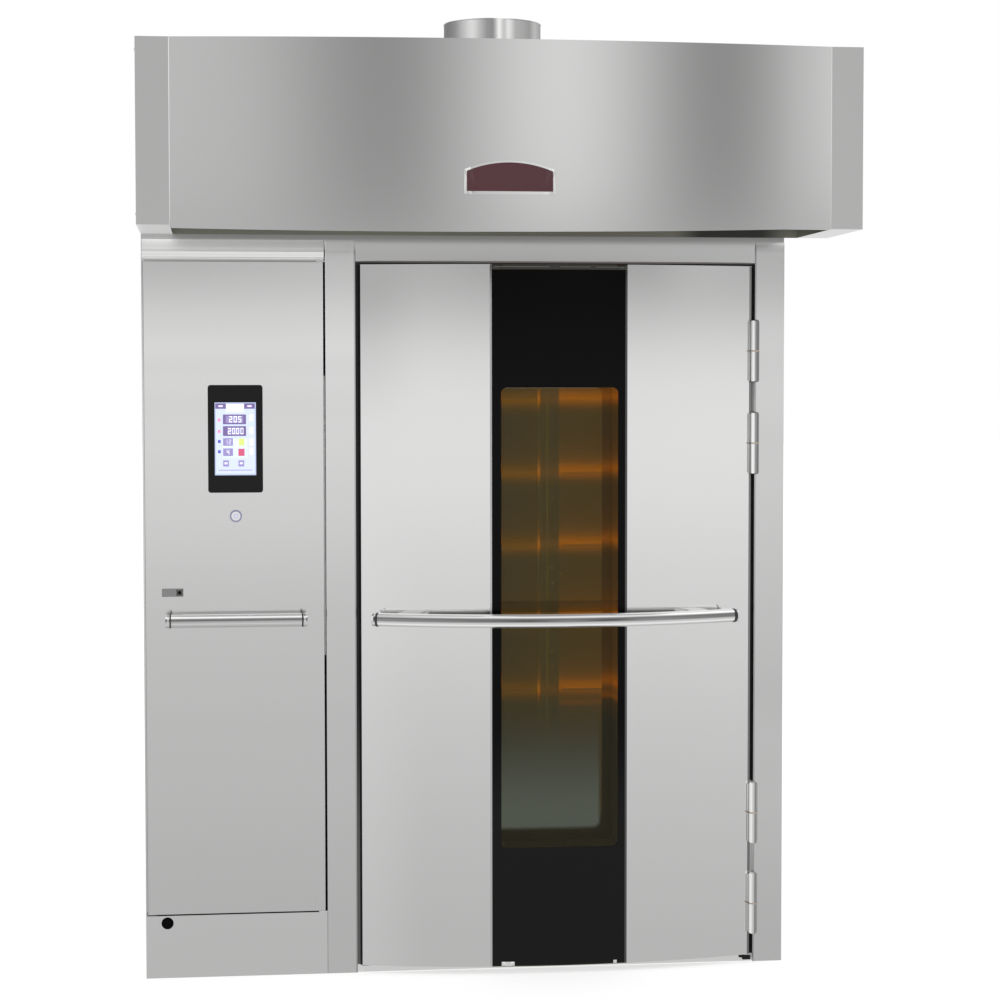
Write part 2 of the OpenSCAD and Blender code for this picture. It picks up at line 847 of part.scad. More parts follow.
module hinge_door_halves() {
    color(steel) for (z = hinge_zs) difference() {
        union() {
            rod_z(hinge_x, hinge_y, barrel_r, z, z + knuckle_h);
            hinge_leaf(leaf_x1, z - knuckle_h, z + knuckle_h, core_y1, z, false);
        }
        rod_z(hinge_x, hinge_y, hinge_pin_r + run, z - cut, z + knuckle_h / 2 + 1);
    }
}

// ---- Control door ----

module control_door_panel() {
    boss = 14;
    color(steel) difference() {
        union() {
            upright(cab_z0, cab_z1) difference() {
                rounded([cab_x0, 0], [cab_x1, cab_door_t], 3);
                translate([cab_x0 + sheet, sheet]) square([cab_x1 - cab_x0 - 2 * sheet, cab_door_t]);
            }
            for (z = [cab_z0, cab_z1 - sheet])
                block([cab_x0 + sheet, sheet, z], [cab_x1 - sheet, cab_door_t, z + sheet]);
            for (z = [cab_z0, cab_z1 - 30])
                block([cab_x1 - 2 * boss, sheet, z], [cab_x1 - sheet, sheet + boss, z + 30]);
            rod_y(fittings_x, button_z, button_r + button_ring, -3, 0);
            rod_y(fittings_x, button_z, button_r + button_ring, 0, 8);
            rod_y(cam_x, latch_z, 13, sheet, 12);
        }
        for (z = [cab_z0 - cut, cab_z1 - 25]) rod_z(pivot_x, pivot_y, pivot_r + run, z, z + 25 + cut);
        rod_y(fittings_x, button_z, button_r + run, -3 - cut, 8 + cut);
        rod_y(cam_x, latch_z, 8 + run, -cut, 12 + cut);
    }
}

module control_door_pivots() {
    pin_len = 20;
    color(steel) {
        block([pivot_x - 12, 0.5, kick_h], [post_x0, post_d, kick_h + 0.75 + pivot_plate]);
        block([pivot_x - 12, 0.5, cab_z1 + 0.75], [post_x0, post_d, trim_z0]);
        rod_z(pivot_x, pivot_y, pivot_r, kick_h, cab_z0 + pin_len);
        rod_z(pivot_x, pivot_y, pivot_r, cab_z1 - pin_len, trim_z0);
    }
}

module control_door_handle() {
    groove = 3;
    x0 = fittings_x - cab_handle_len / 2;
    x1 = fittings_x + cab_handle_len / 2;
    color(steel) {
        rod_x(-cab_handle_stand, handle_z, bar_r, x0 + cap_len, x1 - cap_len);
        rod_x(-cab_handle_stand, handle_z, bar_r - groove, x0, x1);
        rod_x(-cab_handle_stand, handle_z, bar_r, x0, x0 + cap_len - groove);
        rod_x(-cab_handle_stand, handle_z, bar_r, x1 - cap_len + groove, x1);
        for (x = [x0 + 45, x1 - 45]) rod_y(x, handle_z, cab_post_d / 2, -cab_handle_stand, 0);
    }
}

module touch_bezel() {
    display_x0 = fittings_x - display_w / 2;
    display_z0 = bezel_z + (bezel_h - display_h) / 2;
    color(dark) difference() {
        facing(-bezel_t, 0) rounded([fittings_x - bezel_w / 2, bezel_z],
            [fittings_x + bezel_w / 2, bezel_z + bezel_h], 8);
        block([display_x0, -bezel_t - cut, display_z0],
              [display_x0 + display_w, -bezel_t + display_t, display_z0 + display_h]);
    }
}

module touch_display() {
    display_x0 = fittings_x - display_w / 2;
    display_z0 = bezel_z + (bezel_h - display_h) / 2;
    color(screen) block([display_x0, -bezel_t, display_z0],
                        [display_x0 + display_w, -bezel_t + display_t, display_z0 + display_h]);
}

module power_button() {
    color(steel) {
        rod_y(fittings_x, button_z, button_r, -3, 12);
        rod_y(fittings_x, button_z, button_r + 2.5, 8.1, 12);
    }
}

module latch_plate() {
    color(steel) facing(-2, 0) difference() {
        rounded([cam_x - latch_w + 11, latch_z - latch_h / 2], [cam_x + 11, latch_z + latch_h / 2], 2);
        translate([cam_x, latch_z]) circle(8 + run, $fn = round_fn);
    }
}

// Key-turned cam; at rest it hangs down, clear of the flange that it locks behind
module latch_cam() {
    socket = 8;
    color(zinc) {
        difference() {
            rod_y(cam_x, latch_z, 8, -2, cab_door_t + 14);
            block([cam_x - socket / 2, -3, latch_z - socket / 2],
                  [cam_x + socket / 2, 8, latch_z + socket / 2]);
        }
        translate([cam_x, 0, latch_z]) facing(cab_door_t + 8, cab_door_t + 12) {
            translate([-11, -cam_len - 22]) square([22, cam_len + 22]);
            circle(15, $fn = round_fn);
        }
    }
}

// ---- Hood ----

module hood_plan(inset) {
    x0 = inset;
    x1 = hood_w - inset;
    translate([x0, -hood_reach + inset]) square([x1 - x0, hood_reach]);
    intersection() {
        translate([hood_w / 2, hood_arc_y]) circle(hood_arc_r - inset, $fn = 4 * arc_fn);
        translate([hood_end_w, -hood_front]) square([hood_arc_w, hood_front]);
    }
}

module hood_front_skin() {
    color(steel) {
        upright(hood_z0, hood_z1) difference() {
            hood_plan(0);
            hood_plan(sheet);
            translate([-cut, -hood_reach + sheet]) square([sheet + 2 * cut, hood_reach + 2 * cut]);
            translate([hood_w - sheet - cut, -hood_reach + sheet])
                square([sheet + 2 * cut, hood_reach + 2 * cut]);
            translate([-cut, -sheet]) square([hood_w + 2 * cut, 3 * sheet + cut]);
        }
        upright(hood_z0, hood_z0 + sheet) difference() {
            intersection() {
                hood_plan(sheet);
                translate([hood_end_w, -hood_front]) square([hood_arc_w, hood_front - sheet]);
            }
            hood_plan(hood_lip);
        }
    }
}

module hood_end_boxes() {
    color(steel) for (side = [0, 1]) difference() {
        translate([side * hood_w, 0, 0]) mirror([side, 0, 0])
            block([0, -hood_reach + sheet, hood_z0], [hood_end_w, 0, hood_z1 - sheet]);
        translate([side * hood_w, 0, 0]) mirror([side, 0, 0])
            block([sheet, -hood_reach + 2 * sheet, hood_z0 + sheet], [hood_end_w - sheet, -sheet, hood_z1]);
    }
}

module hood_top_panel() {
    color(steel) difference() {
        upright(hood_z1 - sheet, hood_z1) intersection() {
            hood_plan(sheet);
            translate([sheet, -hood_front]) square([hood_w - 2 * sheet, hood_front]);
        }
        rod_z(collar_x, -collar_y, collar_r - sheet, hood_z0, hood_z1 + cut);
    }
}

module hood_back_panel() {
    color(steel) difference() {
        block([hood_end_w, -sheet, hood_z0], [hood_w - hood_end_w, 0, hood_z1 - sheet]);
        rod_y(flue_x, flue_top, flue_r + seat, -sheet - cut, cut);
        block([vent_x0 + sheet, -sheet - cut, roof_z + sheet], [vent_x0 + sheet + vent_w, cut, vent_top]);
    }
}

module duct_collar() {
    color(zinc) difference() {
        union() {
            rod_z(collar_x, -collar_y, collar_r, hood_z1, hood_z1 + collar_h);
            rod_z(collar_x, -collar_y, collar_r + 18, hood_z1, hood_z1 + 3);
        }
        rod_z(collar_x, -collar_y, collar_r - sheet, hood_z1 - cut, hood_z1 + collar_h + cut);
    }
}

// ---- Rack drive ----

// One tooth: straight root, then the flank curve out to the tip, and back
function tooth(n, m, play) =
    let (r = m * n / 2, base = r * cos(20), tip = r + m, root = r - 1.25 * m, start = max(base, root),
         half = 90 / n - play / r * 90 / PI,
         radii = [for (k = [0:3]) start + (tip - start) * k / 3],
         angles = [for (q = radii) half + involute_lag(20) - involute_lag(acos(min(1, base / q)))])
    concat([polar(root, -angles[0])], [for (k = [0:3]) polar(radii[k], -angles[k])],
           [for (k = [3:-1:0]) polar(radii[k], angles[k])], [polar(root, angles[0])]);

function turned(points, a) = [for (p = points) [p.x * cos(a) - p.y * sin(a), p.x * sin(a) + p.y * cos(a)]];

module gear_plan(n, m, play) {
    one = tooth(n, m, play);
    polygon([for (i = [0:n - 1]) each turned(one, i * 360 / n)]);
}

// Large gear on a sleeve with a keyway, in which the carrier shaft slides up and down
module drive_gear() {
    key_w = 10;
    color(motor_grey) translate([chamber_cx, chamber_cy, 0]) difference() {
        union() {
            upright(gear_z, gear_z + gear_t) rotate(90) difference() {
                gear_plan(gear_teeth, gear_module, backlash / 2);
                for (a = [0:60:300]) rotate(a + 30) translate([gear_r * 0.62, 0])
                    circle(gear_r * 0.17, $fn = 48);
            }
            cylinder_between(sleeve_r, sleeve_z0, sleeve_z1);
            cylinder_between(sleeve_r + 12, gear_z + gear_t, sleeve_z1);
        }
        cylinder_between(shaft_r + run, sleeve_z0 - cut, sleeve_z1 + cut);
        block([shaft_r - 5, -key_w / 2 - 0.1, sleeve_z0 - cut],
              [shaft_r + 5.2, key_w / 2 + 0.1, sleeve_z1 + cut]);
    }
}

module cylinder_between(r, z0, z1) {
    translate([0, 0, z0]) cylinder(r = r, h = z1 - z0, $fn = round_fn);
}

module drive_pinion() {
    color(motor_grey) translate([chamber_cx, pinion_y, 0]) {
        upright(gear_z, gear_z + gear_t) rotate(-90 + 180 / pinion_teeth)
            gear_plan(pinion_teeth, gear_module, backlash / 2);
        cylinder_between(pinion_shaft_r, gear_z - pinion_drop, gear_z + gear_t + 4);
    }
}

module bearing_housing() {
    color(motor_grey) translate([chamber_cx, chamber_cy, 0]) difference() {
        union() {
            cylinder_between(bearing_flange_r, roof_z, roof_z + bearing_flange_t);
            cylinder_between(sleeve_r + 24, roof_z, roof_z + bearing_h);
        }
        cylinder_between(sleeve_r + run, sleeve_z0 - 0.5, roof_z + bearing_h + cut);
        cylinder_between(shaft_r + 4, roof_z - cut, roof_z + bearing_h);
        for (a = [45:90:315]) rotate(a) translate([bearing_flange_r - 22, 0, 0])
            cylinder_between(bolt_hole_r, roof_z - cut, roof_z + bearing_flange_t + cut);
    }
}

// Worm gearbox under the pinion with its motor lying behind it
module drive_motor() {
    top = gear_z - 8;
    half_w = 60;
    back = 80;
    can_r = 42;
    axis_z = roof_z + can_r + 4;
    color(motor_grey) translate([chamber_cx, pinion_y, 0]) difference() {
        union() {
            block([-half_w, bearing_flange_r + 2 - gear_r - pinion_r, roof_z], [half_w, back, top]);
            rod_y(0, axis_z, can_r, back, back + 200);
            rod_y(0, axis_z, can_r + 3, back + 70, back + 170);
        }
        cylinder_between(pinion_shaft_r + run, gear_z - pinion_drop - cut, top + cut);
    }
}

// Portal over the gear with the cylinder that raises the carrier
module lift_actuator() {
    leg = 30;
    color(zinc) translate([chamber_cx, chamber_cy, 0]) difference() {
        union() {
            for (side = [-1, 1])
                block([side * bridge_x - leg / 2, -leg, roof_z], [side * bridge_x + leg / 2, leg, bridge_z]);
            block([-bridge_x - leg / 2, -leg, bridge_z], [bridge_x + leg / 2, leg, bridge_z + bridge_t]);
            cylinder_between(28, bridge_z + bridge_t, bridge_z + bridge_t + actuator_h);
        }
        cylinder_between(rod_r + run, bridge_z - cut, bridge_z + bridge_t + actuator_h - 8);
    }
}

// Keyed shaft, cross beam and two lipped rails that take the tops of the racks
module rack_carrier() {
    rail_w = 60;
    rail_h = 50;
    rail_wall = 5;
    beam_z = rail_z + rail_h - rail_wall;
    key_w = 10;
    color(zinc) translate([chamber_cx, chamber_cy, 0]) {
        cylinder_between(shaft_r, beam_z, shaft_top);
        block([0, -key_w / 2, sleeve_z0 + 2], [shaft_r + 5, key_w / 2, sleeve_z1 - 15]);
        cylinder_between(sleeve_r + 4, sleeve_z1, shaft_top);
        cylinder_between(rod_r, shaft_top, bridge_z + bridge_t + 15);
        cylinder_between(60, beam_z, beam_z + 40);
        block([-rail_gap / 2 - rail_w / 2, -35, beam_z], [rail_gap / 2 + rail_w / 2, 35, beam_z + 40]);
        for (side = [-1, 1])
            translate([side * rail_gap / 2, rail_len / 2, 0]) rotate([90, 0, 0]) linear_extrude(rail_len)
                difference() {
                    translate([-rail_w / 2, rail_z]) square([rail_w, rail_h]);
                    translate([rail_wall - rail_w / 2, rail_z + rail_wall])
                        square([rail_w - 2 * rail_wall, rail_h - 2 * rail_wall]);
                    translate([-12, rail_z - cut]) square([24, 20]);
                }
    }
}

// ---- Air system ----

module blower_wheel() {
    blade_in = wheel_r * 0.68;
    blade_arc = wheel_r * 0.4;
    color(motor_grey) translate([blower_x, blower_y, 0]) {
        upright(wheel_z + wheel_h - 3, wheel_z + wheel_h) circle(wheel_r, $fn = round_fn);
        upright(wheel_z, wheel_z + 3) difference() {
            circle(wheel_r, $fn = round_fn);
            circle(blade_in, $fn = round_fn);
        }
        upright(wheel_z, wheel_z + wheel_h) for (i = [0:blade_count - 1]) rotate(i * 360 / blade_count)
            intersection() {
                translate([wheel_r * 0.77, 0]) difference() {
                    circle(blade_arc, $fn = round_fn);
                    circle(blade_arc - 2, $fn = round_fn);
                }
                difference() {
                    circle(wheel_r - 1, $fn = round_fn);
                    circle(blade_in + 1, $fn = round_fn);
                }
                square(2 * wheel_r);
            }
        cylinder_between(30, wheel_z + wheel_h - 40, wheel_z + wheel_h);
        cylinder_between(blower_shaft_r, wheel_z + wheel_h - 40, roof_z + 70);
    }
}

// Spiral casing whose radius grows steadily round to the throat
module scroll_plan(grow, reach) {
    polygon([for (a = [0:10:360]) polar(scroll_r0 + scroll_growth * a / 360 + grow, 90 - a)]);
    translate([-cut, scroll_r0 - grow]) square([reach + cut, scroll_growth + 2 * grow]);
}

module blower_housing() {
    reach = bay_x1 - blower_x;
    color(zinc) translate([blower_x, blower_y, 0]) difference() {
        upright(scroll_z0 - sheet, scroll_z1 + sheet) scroll_plan(sheet, reach);
        upright(scroll_z0, scroll_z1) scroll_plan(0, reach + cut);
        cylinder_between(wheel_r * 0.68, scroll_z0 - sheet - cut, scroll_z0 + cut);
        cylinder_between(blower_shaft_r + 4, scroll_z1 - cut, scroll_z1 + sheet + cut);
    }
}

module blower_motor() {
    color(motor_grey) translate([blower_x, blower_y, 0]) difference() {
        union() {
            cylinder_between(motor_r + 15, roof_z, roof_z + 12);
            cylinder_between(motor_r, roof_z, roof_z + 200);
            cylinder_between(motor_r - 12, roof_z + 200, roof_z + 225);
        }
        cylinder_between(blower_shaft_r + run, roof_z - cut, roof_z + 75);
    }
}

// Two boxes joined by upright tubes, then a flue that turns forward into the hood
module exchanger_form(inset) {
    wall = [inset, inset, inset];
    columns = 5;
    rows = 7;
    for (low = [hx_low, hx_high]) block(low + wall, low + hx_size - wall);
    for (i = [0:columns - 1], j = [0:rows - 1])
        rod_z(hx_low.x + hx_size.x * (i + 0.5) / columns, hx_low.y + hx_size.y * (j + 0.5) / rows,
              hx_tube_r - inset, hx_low.z + hx_size.z - 2 * inset, hx_high.z + 2 * inset);
    block([flue_x - flue_r - 2, flue_y - flue_r - 2, hx_high.z] + wall,
          [flue_x + flue_r + 2 - inset, hx_high.y + 2 * inset, hx_high.z + hx_size.z - inset]);
    rod_z(flue_x, flue_y, flue_r - inset, hx_high.z + hx_size.z - 2 * inset, flue_top - flue_bend);
    translate([flue_x, flue_y - flue_bend, flue_top - flue_bend]) rotate([0, 90, 0]) rotate([0, 0, 90])
        rotate_extrude(angle = 90, $fn = round_fn) translate([flue_bend, 0]) circle(flue_r - inset);
    rod_y(flue_x, flue_top, flue_r - inset, inset > 0 ? -sheet - cut : -sheet, flue_y - flue_bend);
}

module heat_exchanger() {
    leg = 40;
    color(inner_steel) {
        difference() {
            exchanger_form(0);
            exchanger_form(hx_wall);
            block([flame_x0, hx_low.y - cut, flame_z0], [flame_x1, hx_low.y + hx_wall + cut, flame_z1]);
        }
        for (x = [hx_low.x, hx_low.x + hx_size.x - leg], y = [hx_low.y, hx_low.y + hx_size.y - leg])
            difference() {
                block([x, y, base_h], [x + leg, y + leg, hx_low.z]);
                block([x + hx_wall, y + hx_wall, base_h - cut],
                      [x + leg - hx_wall, y + leg - hx_wall, hx_low.z - hx_wall]);
            }
    }
}

// Fire box with a throat that meets the lower box of the heat exchanger
module burner_form(inset) {
    fire = [[90, 380, base_h], [430, 660, 480]];
    throat_y = 480;
    wall = [inset, inset, inset];
    block(fire[0] + [inset, inset, inset > 0 ? -cut : 0], fire[1] - wall);
    block([flame_x0 - 40, throat_y, fire[1].z - 2 * inset] + [inset, inset, 0],
          [flame_x1 + 40, hx_low.y, hx_low.z + hx_size.z] - wall);
}

module burner_box() {
    color(motor_grey) difference() {
        burner_form(0);
        burner_form(hx_wall);
        block([flame_x0, hx_low.y - hx_wall - cut, flame_z0], [flame_x1, hx_low.y + cut, flame_z1]);
    }
}

// Louvred cover screwed to the partition, open on that side
module electrical_box() {
    high = [post_x0, 380, roof_z - electric_drop];
    low = high - electric_size;
    wall = [sheet, sheet, sheet];
    slat = 10;
    color(steel) {
        difference() {
            block(low, high);
            block(low + wall, high - wall + [sheet + cut, 0, 0]);
        }
        for (z = [low.z + 60:3 * slat:low.z + 60 + 21 * slat])
            block([low.x - sheet, low.y + 30, z], [low.x, high.y - 30, z + slat]);
    }
}

// Steam vent through the roof, open at the front into the hood
module vent_duct() {
    color(zinc) difference() {
        union() {
            upright(ceiling_z, vent_top + sheet) vent_plan(0);
            block([vent_x0, 0, roof_z], [vent_x0 + vent_w + 2 * sheet, vent_y0 + cut, vent_top + sheet]);
        }
        upright(ceiling_z - cut, vent_top) vent_plan(sheet);
        block([vent_x0 + sheet, -cut, roof_z + sheet],
              [vent_x0 + sheet + vent_w, vent_y0 + 3 * sheet, vent_top]);
        rod_x(damper_y, damper_z, damper_shaft_r + run, vent_x0 - cut, vent_x0 + vent_w + 2 * sheet + cut);
    }
}

module vent_damper() {
    flap = vent_w - 8;
    color(zinc) {
        block([vent_x0 + sheet + 4, damper_y - flap / 2, damper_z - 1.5],
              [vent_x0 + sheet + 4 + flap, damper_y + flap / 2, damper_z + 1.5]);
        rod_x(damper_y, damper_z, damper_shaft_r, vent_x0 - 6, vent_x0 + vent_w + 2 * sheet + 30);
        block([vent_x0 + vent_w + 2 * sheet + 20, damper_y - 8, damper_z - 8],
              [vent_x0 + vent_w + 2 * sheet + 26, damper_y + 70, damper_z + 8]);
    }
}

place() base_frame();
place() chamber_floor();
place() left_side_panel();
place() right_side_panel();
place() back_panel();
place() roof_panel();
place() cabinet_partition();
place() kick_panel();
place() cabinet_head_trim();
place() centre_post();
place() right_post();
place() door_header();
place() door_jamb();
place() door_gasket();
place() chamber_left_wall();
place() chamber_right_wall();
place() chamber_ceiling();
place() rear_air_box();
place() air_duct_column();
place() lamp_lenses();
place() insulation();
place() hinge_frame_halves();
place() control_door_pivots();
place() heat_exchanger();
place() burner_box();
place() blower_housing();
place() blower_motor();
place() electrical_box();
place() bearing_housing();
place() drive_motor();
place() lift_actuator();
place() vent_duct();
place() hood_front_skin();
place() hood_end_boxes();
place() hood_top_panel();
place() hood_back_panel();
place() duct_collar();
place() drive_gear();
place() drive_pinion();
place() rack_carrier();
place() blower_wheel();
place() vent_damper();
place() door_left_skin();
place() door_right_skin();
place() door_core();
place() door_black_glass();
place() door_window_glass();
place() door_liner();
place() door_inner_glass();
place() door_handle_bar();
place() door_handle_brackets();
place() hinge_door_halves();
place() door_sweep();
place() control_door_panel();
place() control_door_handle();
place() touch_bezel();
place() touch_display();
place() power_button();
place() latch_plate();
place() latch_cam();
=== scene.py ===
# %% [markdown]
# # Dressing a rotating rack oven
#
# The oven arrives as a fixed frame: sixty solids that already have their real
# sizes, in metres, with Z up and the oven's middle on the floor at the origin.
# Blender adds what the eye judges: satin sheet steel, dark glass, the lit
# inside, and the small parts that a drawing of solids leaves out.
#
# Two rules run through the whole lesson. A solid is never moved, so a new piece
# reads its place from the solid that carries it. And every new piece rides on
# one body of the frame, so that the doors still open with their handles on.

# %% Load the oven
import math

import bmesh
import bpy
from mathutils import Matrix, Vector


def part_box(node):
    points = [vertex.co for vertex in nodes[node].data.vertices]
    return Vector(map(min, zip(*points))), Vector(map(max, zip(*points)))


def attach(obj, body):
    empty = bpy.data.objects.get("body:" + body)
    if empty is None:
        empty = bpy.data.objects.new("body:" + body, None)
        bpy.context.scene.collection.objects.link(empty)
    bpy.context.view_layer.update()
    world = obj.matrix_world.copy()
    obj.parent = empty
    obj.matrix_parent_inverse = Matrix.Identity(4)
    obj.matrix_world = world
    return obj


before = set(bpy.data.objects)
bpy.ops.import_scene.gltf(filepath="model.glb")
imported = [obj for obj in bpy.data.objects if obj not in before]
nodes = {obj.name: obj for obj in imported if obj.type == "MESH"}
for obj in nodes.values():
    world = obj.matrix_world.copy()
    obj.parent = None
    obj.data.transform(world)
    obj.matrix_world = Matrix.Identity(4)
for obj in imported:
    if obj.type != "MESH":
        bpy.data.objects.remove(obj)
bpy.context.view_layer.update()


def extent(node):
    """Lowest and highest corner of a solid, as plain vectors."""
    low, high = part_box(node)
    return Vector(low), Vector(high)


post_low, post_high = extent("centre_post")
hood_low, hood_high = extent("hood_front_skin")
front = post_low.y  # plane of the posts and the control door
print(len(nodes), "solids; front plane at y =", round(front, 4))

# %% [markdown]
# ## Camera
#
# The oven is seen from slightly left of its middle, from just above the
# display, with a lens of about 87 mm. A long lens from far away keeps the
# uprights upright, as in a catalogue picture. The camera is turned to the right
# and a little down instead of being shifted, so other views can be taken with
# the same camera.

# %% Set the camera
camera = bpy.data.objects.new("Camera", bpy.data.cameras.new("Camera"))
bpy.context.scene.collection.objects.link(camera)
bpy.context.scene.camera = camera
camera.data.lens = 86.73
camera.data.sensor_width = 36
camera.data.clip_end = 200
bpy.context.scene.view_settings.view_transform = "Standard"
eye = Vector((-0.7639, -7.3645, 1.6736))
yaw, pitch, roll = math.radians(6.657), math.radians(2.736), math.radians(-0.05)
camera.matrix_world = (
    Matrix.Translation(eye)
    @ Matrix.Rotation(-yaw, 4, "Z")
    @ Matrix.Rotation(math.pi / 2 - pitch, 4, "X")
    @ Matrix.Rotation(roll, 4, "Z")
)
print("camera", round((eye - Vector((0, front, 1))).length, 2), "m from the front")

# %% [markdown]
# ## Writing shaders as sums
#
# A node tree is tiring to read as a list of links. Here one small class wraps a
# socket, so that `1 - mask` or `grain * 0.2 + 0.4` adds its own Math nodes.
# Everything else comes from one method, `add`, which takes a node's type, its
# settings and what goes into its sockets. Colours are mixed by a Mix node,
# because a Math node would turn them grey.


# %% A socket that does sums
class Wire:
    """An output socket that can be used in Python sums."""

    def __init__(self, board, socket):
        self.board, self.socket = board, socket

    def _sum(self, operation, *terms):
        return self.board.add("ShaderNodeMath", {"operation": operation}, dict(enumerate(terms)))

    def __add__(self, other):
        return self._sum("ADD", self, other)

    def __sub__(self, other):
        return self._sum("SUBTRACT", self, other)

    def __rsub__(self, other):
        return self._sum("SUBTRACT", other, self)

    def __mul__(self, other):
        return self._sum("MULTIPLY", self, other)

    def __truediv__(self, other):
        return self._sum("DIVIDE", self, other)

    __radd__, __rmul__ = __add__, __mul__

    def below(self, other):
        return self._sum("LESS_THAN", self, other)

    def above(self, other):
        return self._sum("GREATER_THAN", self, other)

    def within(self, centre, half):
        """1 where the value lies within half of the centre, else 0."""
        return self._sum("COMPARE", self, centre, half)

    def rise(self, low, high):
        """A smooth step from 0 at low to 1 at high."""
        steps = {"interpolation_type": "SMOOTHSTEP"}
        return self.board.add("ShaderNodeMapRange", steps, {0: self, 1: low, 2: high})

    def at_least(self, other):
        return self._sum("MAXIMUM", self, other)

    def root(self):
        return self._sum("SQRT", self)

    def fraction(self):
        """The part behind the decimal point."""
        return self._sum("FRACT", self)

    def azimuth(self, other):
        """The angle whose sides are this and the other."""
        return self._sum("ARCTAN2", self, other)

    def band(self, centre, half, soft):
        """1 inside a soft-edged band, 0 outside."""
        off = self._sum("ABSOLUTE", self - centre)
        return 1 - off.rise(half - soft, half + soft)


class Board:
    """A node tree with one way to add to it."""

    def __init__(self, tree):
        self.tree = tree

    def add(self, kind, settings=None, values=None, out=0):
        node = self.tree.nodes.new(kind)
        for name, value in (settings or {}).items():
            if name == "stops":
                ramp = node.color_ramp
                while len(ramp.elements) < len(value):
                    ramp.elements.new(1)
                for stop, (place, colour) in zip(ramp.elements, value):
                    stop.position = place
                    stop.color = colour if hasattr(colour, "__len__") else (colour, colour, colour, 1)
            elif name == "interpolation":
                node.color_ramp.interpolation = value
            else:
                setattr(node, name, value)
        for name, value in (values or {}).items():
            self.feed(node.inputs[name], value)
        return Wire(self, node.outputs[out])

    def feed(self, socket, value):
        if isinstance(value, Wire):
            self.tree.links.new(value.socket, socket)
        elif hasattr(value, "__len__") and len(value) == 3 and socket.type == "RGBA":
            socket.default_value = (*value, 1)
        else:
            socket.default_value = value

    def mix(self, share, one, other):
        """One colour where share is 0, the other where it is 1."""
        return self.add("ShaderNodeMix", {"data_type": "RGBA"}, {0: share, 6: one, 7: other}, 2)

    def scaled(self, colour, share):
        """A colour made lighter or darker."""
        return self.add("ShaderNodeVectorMath", {"operation": "SCALE"}, {0: colour, "Scale": share})

    def ramp(self, value, stops, kind="LINEAR"):
        return self.add("ShaderNodeValToRGB", {"stops": stops, "interpolation": kind}, {0: value})

    def axes(self, vector):
        """The three numbers of a vector."""
        node = self.tree.nodes.new("ShaderNodeSeparateXYZ")
        self.feed(node.inputs[0], vector)
        return [Wire(self, socket) for socket in node.outputs]


def grey(srgb):
    """A light level from a picture value of 0 to 255."""
    share = srgb / 255
    return ((share + 0.055) / 1.055) ** 2.4 if share > 0.04045 else share / 12.92


def tint(red, green, blue):
    """A colour from picture values of 0 to 255."""
    return (grey(red), grey(green), grey(blue))


print("picture value 128 is light level", round(grey(128), 3))

# %% [markdown]
# ## Light
#
# Bare steel has almost no colour of its own: it shows the room. So the room
# matters more than any lamp. A white studio is brightest at the height of the
# camera and a little dimmer above and below. Soft boxes and the gaps between
# them stand above eye level, where only the bowed hood can see them, and give
# its broad bright and dark stripes. Seen directly, the room is plain white.

# %% Light the room
world = bpy.data.worlds.new("Studio")
bpy.context.scene.world = world
world.use_nodes = True
world.node_tree.nodes.clear()
room = Board(world.node_tree)
toward = room.add("ShaderNodeTexCoord")
east, north, up = room.axes(toward)
turn = east.azimuth(north * -1)

SHEET = 0.66  # how much light the sheet steel gives back
HOOD_END = 0.088  # width of the hood's flat ends
# soft boxes and the gaps between them: (degrees to the right, light level)
SOFT_BOXES = [
    (-180, 0.35), (-106, 0.42), (-77, 0.80), (-53, 1.30), (-26, 1.05), (-12, 0.74), (-1, 0.38),
    (10.5, 1.06), (21.2, 0.34), (32, 1.20), (50, 0.95), (77, 0.66), (106, 0.60), (180, 0.45),
]
box_stops = [(angle / 360 + 0.5, light) for angle, light in SOFT_BOXES]
stripes = room.ramp(turn / math.radians(360) + 0.5, box_stops, "EASE")
# light level by height: (degrees above the horizon, light level)
HEIGHTS = [
    (-20, 0.85), (-2, 1.11), (0.2, 1.15), (1.0, 1.05), (1.8, 0.71), (2.6, 0.48), (4, 0.46), (8, 0.60),
    (18, 0.80), (50, 1.15),
]
height_stops = [(math.sin(math.radians(angle)) / 2 + 0.5, light) for angle, light in HEIGHTS]
level = room.ramp(up / 2 + 0.5, height_stops)
high = up.rise(math.sin(math.radians(3.2)), math.sin(math.radians(4.2)))
over = up.rise(math.sin(math.radians(14)), math.sin(math.radians(30)))
mirrored = room.mix(high * (1 - over), level, stripes)
sight = room.tree.nodes.new("ShaderNodeLightPath")
shown = room.mix(Wire(room, sight.outputs["Is Camera Ray"]), mirrored, (1, 1, 1))
glow = room.add("ShaderNodeBackground", {}, {"Color": shown, "Strength": 1.0})
end = room.tree.nodes.new("ShaderNodeOutputWorld")
room.feed(end.inputs["Surface"], glow)
print("room of", len(room.tree.nodes), "nodes")

# %% [markdown]
# ## Floor
#
# A white sweep: to the camera it is nearly shadowless white, with a soft
# contact shadow. In the steel it is seen at a low angle, where such a floor
# looks brighter the further away it is, so its mirrored level rises with the
# distance from the oven.

